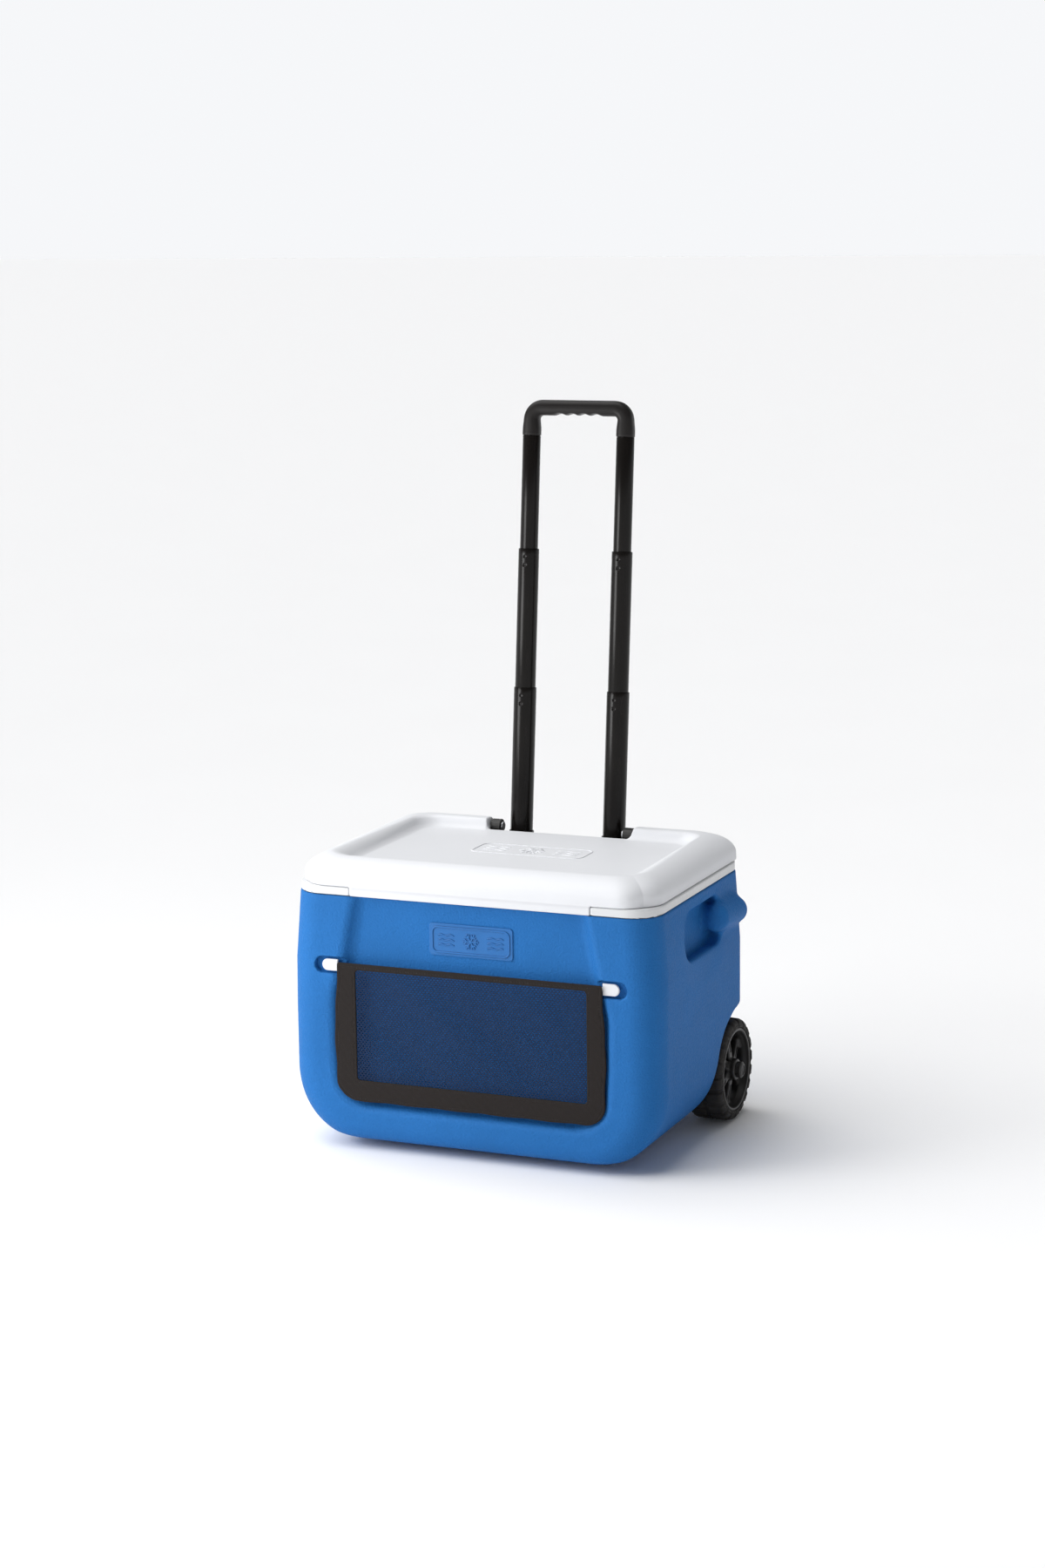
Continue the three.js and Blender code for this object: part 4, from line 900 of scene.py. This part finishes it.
GASKET = rubber("gasket", (0.03, 0.03, 0.03), 0.75, 1800, dust=0.05)
TUBE_BLACK = coated_steel("black_tube", (0.0044, 0.0034, 0.0028), 0.2)
STEEL = plated_steel("plated_steel")
PIN_STEEL = plated_steel("dark_pin", (0.10, 0.095, 0.09))
FOAM = foam("foam", (0.78, 0.72, 0.50))
NET_BLUE = woven("net_thread", (0.0075, 0.019, 0.058), 900, 0.0001, sheen=0.1, fuzz_and_highlight=2.6)
TAPE = woven("tape", (0.0105, 0.0078, 0.007), 700, 0.00015, sheen=0.04)
THREAD = woven("thread", (0.018, 0.015, 0.014), 2500, 0.00006)

# ---------------------------------------------------------------- moulded and turned pieces


def body_of(node):
    """The body that a CAD node rides on."""
    return next(body for body, nodes in frame["record"]["behaviour"]["bodies"].items() if node in nodes)


def make_moulded(node, name, field, material, slot, low, high, *grid):
    """A moulded piece that stands for a CAD node. grid is moulded's step, adaptivity and bend."""
    made = moulded(name, field, low, high, *grid)
    return piece(made, material, body_of(node), slot, [node])


BADGE_LOW = (-BADGE.half, BADGE.front - BADGE.room, BADGE.z - BADGE.height / 2)
BADGE_HIGH = (BADGE.half, BADGE.back, BADGE.z + BADGE.height / 2)
# Node, piece, field, material, slot, the box that holds the piece, and its grid.
BODY_PIECES = (
    ("outer_shell", "tub_shell", shell, BLUE, "shell_blue",
     (-0.299, -0.229, 0), (0.299, 0.152, 0.37), 0.0027, 0.008),
    ("tub_foam", "tub_filling", tub_foam, FOAM, "foam",
     (-0.278, -0.224, 0.008), (0.278, 0.147, 0.368), 0.005, 0.02),
    ("inner_liner", "liner_body", liner, INNER_WHITE, "white_plastic",
     (-0.275, -0.224, 0.035), (0.275, 0.151, 0.382), 0.003, 0.005),
    ("pocket_batten", "batten_strip", batten, WHITE, "white_plastic",
     (-0.226, -0.2235, 0.259), (0.226, -0.2193, 0.277), 0.0009, 0.005),
    ("front_badge", "badge_plate", badge, BADGE_BLUE, "shell_blue", BADGE_LOW, BADGE_HIGH,
     0.0005, 0.01, 0.0008),
    ("lid_top", "lid_skin", lid_skin, WHITE, "white_plastic",
     (-0.274, -0.221, 0.368), (0.274, 0.152, 0.42), 0.002, 0.005),
    ("lid_foam", "lid_filling", lid_foam, FOAM, "foam",
     (-0.271, -0.218, 0.384), (0.271, 0.149, 0.417), 0.004, 0.02),
    ("lid_inner_panel", "lid_pan", lid_pan, INNER_WHITE, "white_plastic",
     (-0.272, -0.219, 0.365), (0.272, 0.15, 0.385), 0.0022, 0.005),
)


def make_lid_motif():
    mark = LID_EMBLEM
    low = (mark.x - mark.half, mark.y - mark.height / 2, TRAY.z - mark.sunk - mark.room)
    high = (mark.x + mark.half, mark.y + mark.height / 2, TRAY.z + mark.raised + mark.room)
    piece(moulded("lid_motif", lid_emblem, low, high, 0.0007, 0.01, 0.0008), WHITE, "lid", "white_plastic")


def outwards(made):
    """Turns a closed mesh's faces outwards."""
    work = bmesh.new()
    work.from_mesh(made.data)
    bmesh.ops.recalc_face_normals(work, faces=work.faces)
    if work.calc_volume() < 0:
        bmesh.ops.reverse_faces(work, faces=work.faces)
    work.to_mesh(made.data)
    work.free()


def turned(name, rings, place, sides=64, dent=None):
    """A body of revolution: rings of (radius, along) joined in a closed loop, with place(u, v, along) putting
    its points in the object. dent(angle, along, radius) draws the outer points in."""
    points = []
    for radius, along in rings:
        for k in range(sides):
            angle = 2 * math.pi * k / sides
            r = radius - (dent(angle, along, radius) if dent else 0)
            points.append(place(r * math.cos(angle), r * math.sin(angle), along))
    count = len(rings)
    faces = []
    for i in range(count):
        for k in range(sides):
            a, b = i * sides + k, i * sides + (k + 1) % sides
            c, d = (i + 1) % count * sides + (k + 1) % sides, (i + 1) % count * sides + k
            faces.append((a, b, c, d))
    made = new_object(name, points, faces)
    outwards(made)
    made.data.shade_smooth()
    made.data.set_sharp_from_angle(angle=math.radians(40))
    return made


def rim(radius, along, outward, upward, size=TUBE_EDGE):
    """Three rings round a small rounded edge."""
    return [(radius - outward * size * (1 - math.cos(t)), along - upward * size * (1 - math.sin(t)))
            for t in (0.0, math.pi / 4, math.pi / 2)]


def pin_dents(marks, inside):
    """Round dents in a tube's front, at angle -90 degrees: (level, radius, depth) each. Points nearer the
    axis than inside are left alone."""

    def dent(angle, along, radius):
        if radius < inside:
            return 0.0
        sideways = radius * ((angle + 1.5 * math.pi) % (2 * math.pi) - math.pi)
        deepest = 0.0
        for level, size, depth in marks:
            reach = math.hypot(sideways, along - level) / size
            deepest = max(deepest, depth * (1 - min(1, max(0, (reach - 0.72) / 0.28))))
        return deepest

    return dent


def on_mast(x, across, along):
    """A point given by its place on the handle."""
    return MAST_AT + np.array([x, 0, 0]) + across * ACROSS + along * UP


def make_tube(stage, side, sign):
    """One steel tube: its rims are rounded, and a lock hole and a crimp show near its top."""
    radius, bore, low, high = TUBES[stage]
    marks, levels = [], []
    if stage != "upper":
        above = TUBES[STAGES[STAGES.index(stage) + 1]][2] + PIN.up
        marks = [(above, *PIN.hole), (high - PIN.dimple_drop, *PIN.dimple)]
    for level, size, _ in marks:
        levels += list(np.linspace(level - size * 1.1, level + size * 1.1, 15))
    rings = rim(radius, low, 1, -1)[::-1] + [(radius, v) for v in sorted(levels)] + rim(radius, high, 1, 1)
    rings += rim(bore, high, -1, 1)[::-1] + rim(bore, low, -1, -1)
    dents = pin_dents(marks, (radius + bore) / 2) if marks else None
    made = turned(f"tube_{stage}_{side}_shaft", rings,
                  lambda u, v, w: on_mast(sign * MAST_X + u, v, w), 96, dents)
    piece(made, TUBE_BLACK, f"handle_{stage}", "tube_black", [f"tube_{stage}_{side}"])


def make_pin(stage, side, sign):
    """A spring pin with a domed tip."""
    outside, level, size, dome = TUBES[stage][0], TUBES[stage][2] + PIN.up, PIN.radius, PIN.dome
    base = outside - PIN.inset - dome
    rings = [(AXIS_RING, outside - PIN.length), (size, outside - PIN.length), (size, base)]
    rings += [(size * math.cos(t), base + dome * math.sin(t)) for t in (0.4, 0.8, 1.2, 1.5)]
    made = turned(f"pin_{stage}_{side}_dome", rings,
                  lambda u, v, w: on_mast(sign * MAST_X + u, -w, level + v), 24)
    piece(made, PIN_STEEL, f"pin_{stage}_{side}", "steel", [f"lock_pin_{stage}_{side}"])


def make_handle():
    for side, sign in SIDES:
        for stage in STAGES:
            make_tube(stage, side, sign)
            make_pin(stage, side, sign)
    low = on_mast(-GRIP.half, -GRIP.reach, GRIP.spigot_from)
    high = on_mast(GRIP.half, GRIP.reach, GRIP.centre + GRIP.bar)
    make_moulded("handle_grip", "grip_bar", grip, GRIP_BLACK, "grip", low, high, 0.0014)
    reaches = ((x, a) for x in (-HOUSING.half, HOUSING.half) for a in (-HOUSING.reach, HOUSING.reach))
    corners = [on_mast(x, a, b) for x, a in reaches for b in (HOUSING.bottom, HOUSING.top)]
    make_moulded("handle_housing", "housing_body", housing, BLACK, "black_plastic",
                 np.min(corners, axis=0), np.max(corners, axis=0), 0.002, 0.005)


def make_hub_cap(side, sign):
    """The cap on the axle's end, dished round a raised rim."""
    low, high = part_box(f"axle_cap_{side}")
    near, far = sorted((abs(low.x), abs(high.x)))
    radius = (high.y - low.y) / 2
    face = [(radius - inward, far - back) for inward, back in HUB_CAP_FACE]
    rings = [(AXIS_RING, near + HUB_CAP_SEAT), (radius, near), *face, (AXIS_RING, far)]
    made = turned(f"hub_cap_{side}", rings,
                  lambda u, v, w: np.array([sign * w, WHEEL_AT[1] + u, WHEEL_AT[2] + v]), 48)
    piece(made, BLACK, body_of(f"axle_cap_{side}"), "black_plastic", [f"axle_cap_{side}"])


def wheel_box(sign, radius):
    near, far = sorted((sign * WHEEL.inner, sign * WHEEL.outer))
    return [(x, WHEEL_AT[1] + r, WHEEL_AT[2] + r) for x, r in ((near, -radius), (far, radius))]


def make_wheels():
    for side, sign in SIDES:
        make_moulded(f"tyre_{side}", f"tread_{side}", tyre, TYRE_BLACK, "tyre",
                     *wheel_box(sign, WHEEL_RADIUS), 0.0016, 0.005)
        make_moulded(f"wheel_{side}", f"spokes_{side}", spoked_wheel, WHEEL_BLACK, "black_plastic",
                     *wheel_box(sign, WHEEL.rim), 0.0014, 0.005)
        make_hub_cap(side, sign)


def make_drain_knob():
    make_moulded("drain_plug", "drain_knob", drain_knob, BLACK, "black_plastic",
                 *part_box("drain_plug"), 0.0008, 0.005, 0.001)


# ---------------------------------------------------------------- the pocket's net and stitching


def net_place(x, z):
    """How far the net stands out at a place: slack waves that die away at the window's edges."""
    u, v = (x - POCKET.x) / POCKET.half, (z - POCKET.low) / (POCKET.high - POCKET.low) * 2 - 1
    slack = np.clip((1 - u**2) * (1 - v**2) * 3, 0, 1)
    wave = sum(gain * np.sin(rate * (a * x + b * z) + phase) for gain, rate, a, b, phase in NET_WAVES)
    return (POCKET.front + POCKET.back) / 2 + POCKET.wave * slack * wave / NET_WAVES_HEIGHT


def apply_modifiers(made):
    depsgraph = bpy.context.evaluated_depsgraph_get()
    mesh = bpy.data.meshes.new_from_object(made.evaluated_get(depsgraph))
    made.modifiers.clear()
    made.data = mesh


def make_net():
    """A knitted net with staggered six-sided holes, cut as a mesh and given a thread's thickness."""
    low, high, half = POCKET.low + 2 * GAP, POCKET.high - 2 * GAP, POCKET.half - 2 * GAP
    corners = [(0, 2 / 3), (0.5, 1 / 3), (0.5, -1 / 3), (0, -2 / 3), (-0.5, -1 / 3), (-0.5, 1 / 3)]
    points, faces, index = [], [], {}

    def point(x, z):
        x, z = float(np.clip(x, -half, half)) + POCKET.x, float(np.clip(z, low, high))
        key = (round(x * 1e5), round(z * 1e5))
        if key not in index:
            index[key] = len(points)
            points.append((x, float(net_place(x, z)), z))
        return index[key]

    def hexagon(x, z, width, height):
        return [point(x + a * width, z + b * height) for a, b in corners]

    rows, columns = int((high - low) / NET.row) + 2, int(half / NET.pitch) + 2
    for j in range(rows):
        for i in range(-columns, columns + 1):
            x, z = (i + 0.5 * (j % 2)) * NET.pitch, low + j * NET.row
            outer = hexagon(x, z, NET.pitch, NET.row)
            inner = hexagon(x, z, NET.pitch * NET.hole_wide, NET.row * NET.hole_high)
            for k in range(6):
                ring = (outer[k], outer[(k + 1) % 6], inner[(k + 1) % 6], inner[k])
                kept = [p for m, p in enumerate(ring) if p not in ring[:m]]
                if len(kept) > 2:
                    faces.append(kept)
    made = new_object("net_mesh", points, faces, smooth=False)
    work = bmesh.new()
    work.from_mesh(made.data)
    bmesh.ops.dissolve_degenerate(work, dist=1e-5, edges=work.edges)
    work.to_mesh(made.data)
    work.free()
    thick = made.modifiers.new("thread", "SOLIDIFY")
    thick.thickness, thick.offset = POCKET.thread, 0
    apply_modifiers(made)
    return piece(made, NET_BLUE, "tub", "net", ["pocket_net"])


def stitch(points, faces, start, end):
    """Adds one stitch, a short thread that dives at both ends, along the tape's face."""
    start, end = np.array(start), np.array(end)
    along = (end - start) / np.linalg.norm(end - start)
    across = np.cross(along, (0, 1, 0))
    first, sides, rings = len(points), 6, 5
    for i in range(rings):
        t = i / (rings - 1)
        swell = math.sin(math.pi * (0.12 + 0.76 * t))
        centre = start + (end - start) * t + np.array([0, STITCH.dive * (1 - swell), 0])
        for k in range(sides):
            angle = 2 * math.pi * k / sides
            offset = across * math.cos(angle) + np.array([0, 1, 0]) * math.sin(angle)
            points.append(centre + offset * STITCH.radius * (0.45 + 0.55 * swell))
    for i in range(rings - 1):
        for k in range(sides):
            a, b = first + i * sides + k, first + i * sides + (k + 1) % sides
            faces.append((a, b, b + sides, a + sides))
    faces.append(tuple(first + k for k in range(sides))[::-1])
    faces.append(tuple(first + (rings - 1) * sides + k for k in range(sides)))


def seam_line(corners, radii, count=8):
    """A closed line round some (x, z) corners, each rounded."""
    line = []
    for k, radius in enumerate(radii):
        here, before, after = (np.array(corners[(k + m) % len(corners)]) for m in (0, -1, 1))
        back, ahead = ((v - here) / np.linalg.norm(v - here) for v in (before, after))
        for t in np.linspace(0, 1, count):
            line.append(here + (1 - t) ** 2 * back * radius + t**2 * ahead * radius)
    return np.vstack([line, line[:1]])


def make_stitching():
    """Two seams round the tape: one by its outer edge and one by the window."""
    tape, face = TAPE_SIZE, POCKET.front + STITCH.proud
    half = [(tape.half_top, POCKET.top - tape.seam), (STITCH.half_mid, tape.mid_z),
            (STITCH.half_low, POCKET.bottom + tape.seam)]
    outer = [(tape.seam - x, z) for x, z in half] + [(x - tape.seam, z) for x, z in half[::-1]]
    gap = tape.window_seam
    low, high = POCKET.low - gap, POCKET.high + gap
    left, right = POCKET.x - POCKET.half - gap, POCKET.x + POCKET.half + gap
    window = [(left, high), (left, low), (right, low), (right, high)]
    points, faces = [], []
    for corners, radii in ((outer, (0.003, 0.02, 0.024, 0.024, 0.02, 0.003)), (window, (0.004,) * 4)):
        line = seam_line(corners, radii)
        lengths = np.concatenate([[0], np.cumsum(np.linalg.norm(np.diff(line, axis=0), axis=1))])
        pitch = lengths[-1] / round(lengths[-1] / STITCH.length)
        for s in np.arange(0, lengths[-1] - pitch / 2, pitch):
            ends = [[np.interp(v, lengths, axis) for axis in line.T] for v in (s, s + pitch * STITCH.share)]
            stitch(points, faces, *[(x, face, z) for x, z in ends])
    made = new_object("pocket_stitching", points, faces)
    outwards(made)
    return piece(made, THREAD, "tub", "binding")


def make_pocket():
    tape = make_moulded("pocket_binding", "tape_frame", tape_frame, TAPE, "binding",
                        (-TAPE_SIZE.reach, POCKET.front, POCKET.bottom),
                        (TAPE_SIZE.reach, POCKET.back, POCKET.top), 0.0011, 0.01)
    make_net()
    make_stitching()


# ---------------------------------------------------------------- pieces that keep their CAD shape


def by_side(*stems):
    return [f"{stem}_{side}" for stem in stems for side, _ in SIDES]


SCREWS = [f"housing_screw_{side}_{level}" for side, _ in SIDES for level in ("upper", "lower")]
END_PLUGS = by_side(*[f"end_plug_{stage}" for stage in STAGES])
CAD_FINISHES = (  # nodes, material, width and segments of their rounded edges
    (["housing_foot"], BLACK, 0.0015, 2),
    (by_side("hinge_bracket"), BLACK, 0.0012, 3),
    (by_side("hinge_pin", "washer"), STEEL, 0.0005, 2),
    (["axle"], STEEL, 0.0006, 2),
    (SCREWS, STEEL, 0.0006, 2),
    (by_side("sleeve"), TUBE_BLACK, 0.0, 0),
    (END_PLUGS, BLACK, 0.0004, 2),
    (["drain_sleeve"], BLACK, 0.0006, 2),
    (["drain_gasket"], GASKET, 0.0004, 2),
)


def finish_cad(names, material, width, segments):
    """Gives CAD nodes a material, and rounds their edges."""
    for name in names:
        node = frame["nodes"][name]
        node.data.materials.clear()
        node.data.materials.append(material)
        if width:
            bevel = node.modifiers.new("edges", "BEVEL")
            bevel.width, bevel.segments = width, segments
            bevel.limit_method, bevel.angle_limit = "ANGLE", math.radians(35)
            bevel.harden_normals = True


for row in BODY_PIECES:
    make_moulded(*row)
make_lid_motif()
make_handle()
make_wheels()
make_drain_knob()
make_pocket()
for finish in CAD_FINISHES:
    finish_cad(*finish)

# ---------------------------------------------------------------- stage

CAMERA = Sizes(place=(1.69978, -4.07468, 1.33236), azimuth=22.736, pitch=10.667, roll=-0.7025, lens=71.77)
HORIZON, CEILING = 0.95, 0.2  # brightness of the studio round the horizon and above it
FLOOR_REACH = 60.0
SUN = Sizes(place=(-0.5, -0.12, 1), power=2.75, degrees=75)
SOFTBOX = Sizes(place=(-1.15, -1.15, 0.72), target=(-0.17, -0.2, 0.25), size=0.8, power=14.5)


def make_camera():
    """A view from the front, turned to the right and looking slightly down."""
    a, p, r = (math.radians(v) for v in (CAMERA.azimuth, CAMERA.pitch, CAMERA.roll))
    ahead = Vector((-math.sin(a) * math.cos(p), math.cos(a) * math.cos(p), -math.sin(p)))
    right = Vector((math.cos(a), math.sin(a), 0))
    up = right.cross(ahead)
    rolled_right = right * math.cos(r) + up * math.sin(r)
    rolled_up = up * math.cos(r) - right * math.sin(r)
    camera = bpy.data.cameras.new("camera")
    camera.lens, camera.sensor_width = CAMERA.lens, 36
    made = link("camera", camera)
    turn = Matrix((rolled_right, rolled_up, -ahead)).transposed().to_4x4()
    made.matrix_world = Matrix.Translation(CAMERA.place) @ turn
    bpy.context.scene.camera = made


def add_light(name, kind, power, aim, place=(0, 0, 0)):
    """A light that shines along aim."""
    light = bpy.data.lights.new(name, kind)
    light.energy = power
    made = link(name, light)
    made.location = place
    made.rotation_euler = aim.to_track_quat("-Z", "Y").to_euler()
    return light


def make_lights():
    """A broad overhead light and a near softbox on the left."""
    sun = add_light("overhead", "SUN", SUN.power, -Vector(SUN.place))
    sun.angle = math.radians(SUN.degrees)
    aim = Vector(SOFTBOX.target) - Vector(SOFTBOX.place)
    softbox = add_light("softbox", "AREA", SOFTBOX.power, aim, SOFTBOX.place)
    softbox.shape, softbox.size, softbox.size_y = "RECTANGLE", SOFTBOX.size, SOFTBOX.size


def make_world():
    """A bright band at the horizon, and a dimmer ceiling above it."""
    world = bpy.data.worlds.new("studio")
    world.use_nodes = True
    nodes, links = world.node_tree.nodes, world.node_tree.links
    where = nodes.new("ShaderNodeTexCoord")
    height = nodes.new("ShaderNodeSeparateXYZ")
    links.new(where.outputs["Generated"], height.inputs[0])
    fade = nodes.new("ShaderNodeMapRange")
    for key, value in (("From Min", 0.1), ("From Max", 0.22), ("To Min", HORIZON), ("To Max", CEILING)):
        fade.inputs[key].default_value = value
    links.new(height.outputs["Z"], fade.inputs["Value"])
    links.new(fade.outputs["Result"], nodes["Background"].inputs["Strength"])
    nodes["Background"].inputs["Color"].default_value = (0.97, 0.98, 1, 1)
    bpy.context.scene.world = world


def make_floor():
    """A pale, dull floor."""
    n = Nodes("floor")
    cloud = n.ramp(n.noise(3, 2), 0.3, 0.7, 0.6, 0.68)
    n.finish(Base_Color=(0.965, 0.965, 0.97), Roughness=cloud, Specular_IOR_Level=0.1)
    reach = FLOOR_REACH
    corners = [(-reach, -reach, 0), (reach, -reach, 0), (reach, reach, 0), (-reach, reach, 0)]
    floor = new_object("floor", corners, [(0, 1, 2, 3)])
    floor.data.materials.append(n.material)


make_camera()
make_floor()
make_world()
bpy.context.scene.view_settings.view_transform = "Standard"
make_lights()
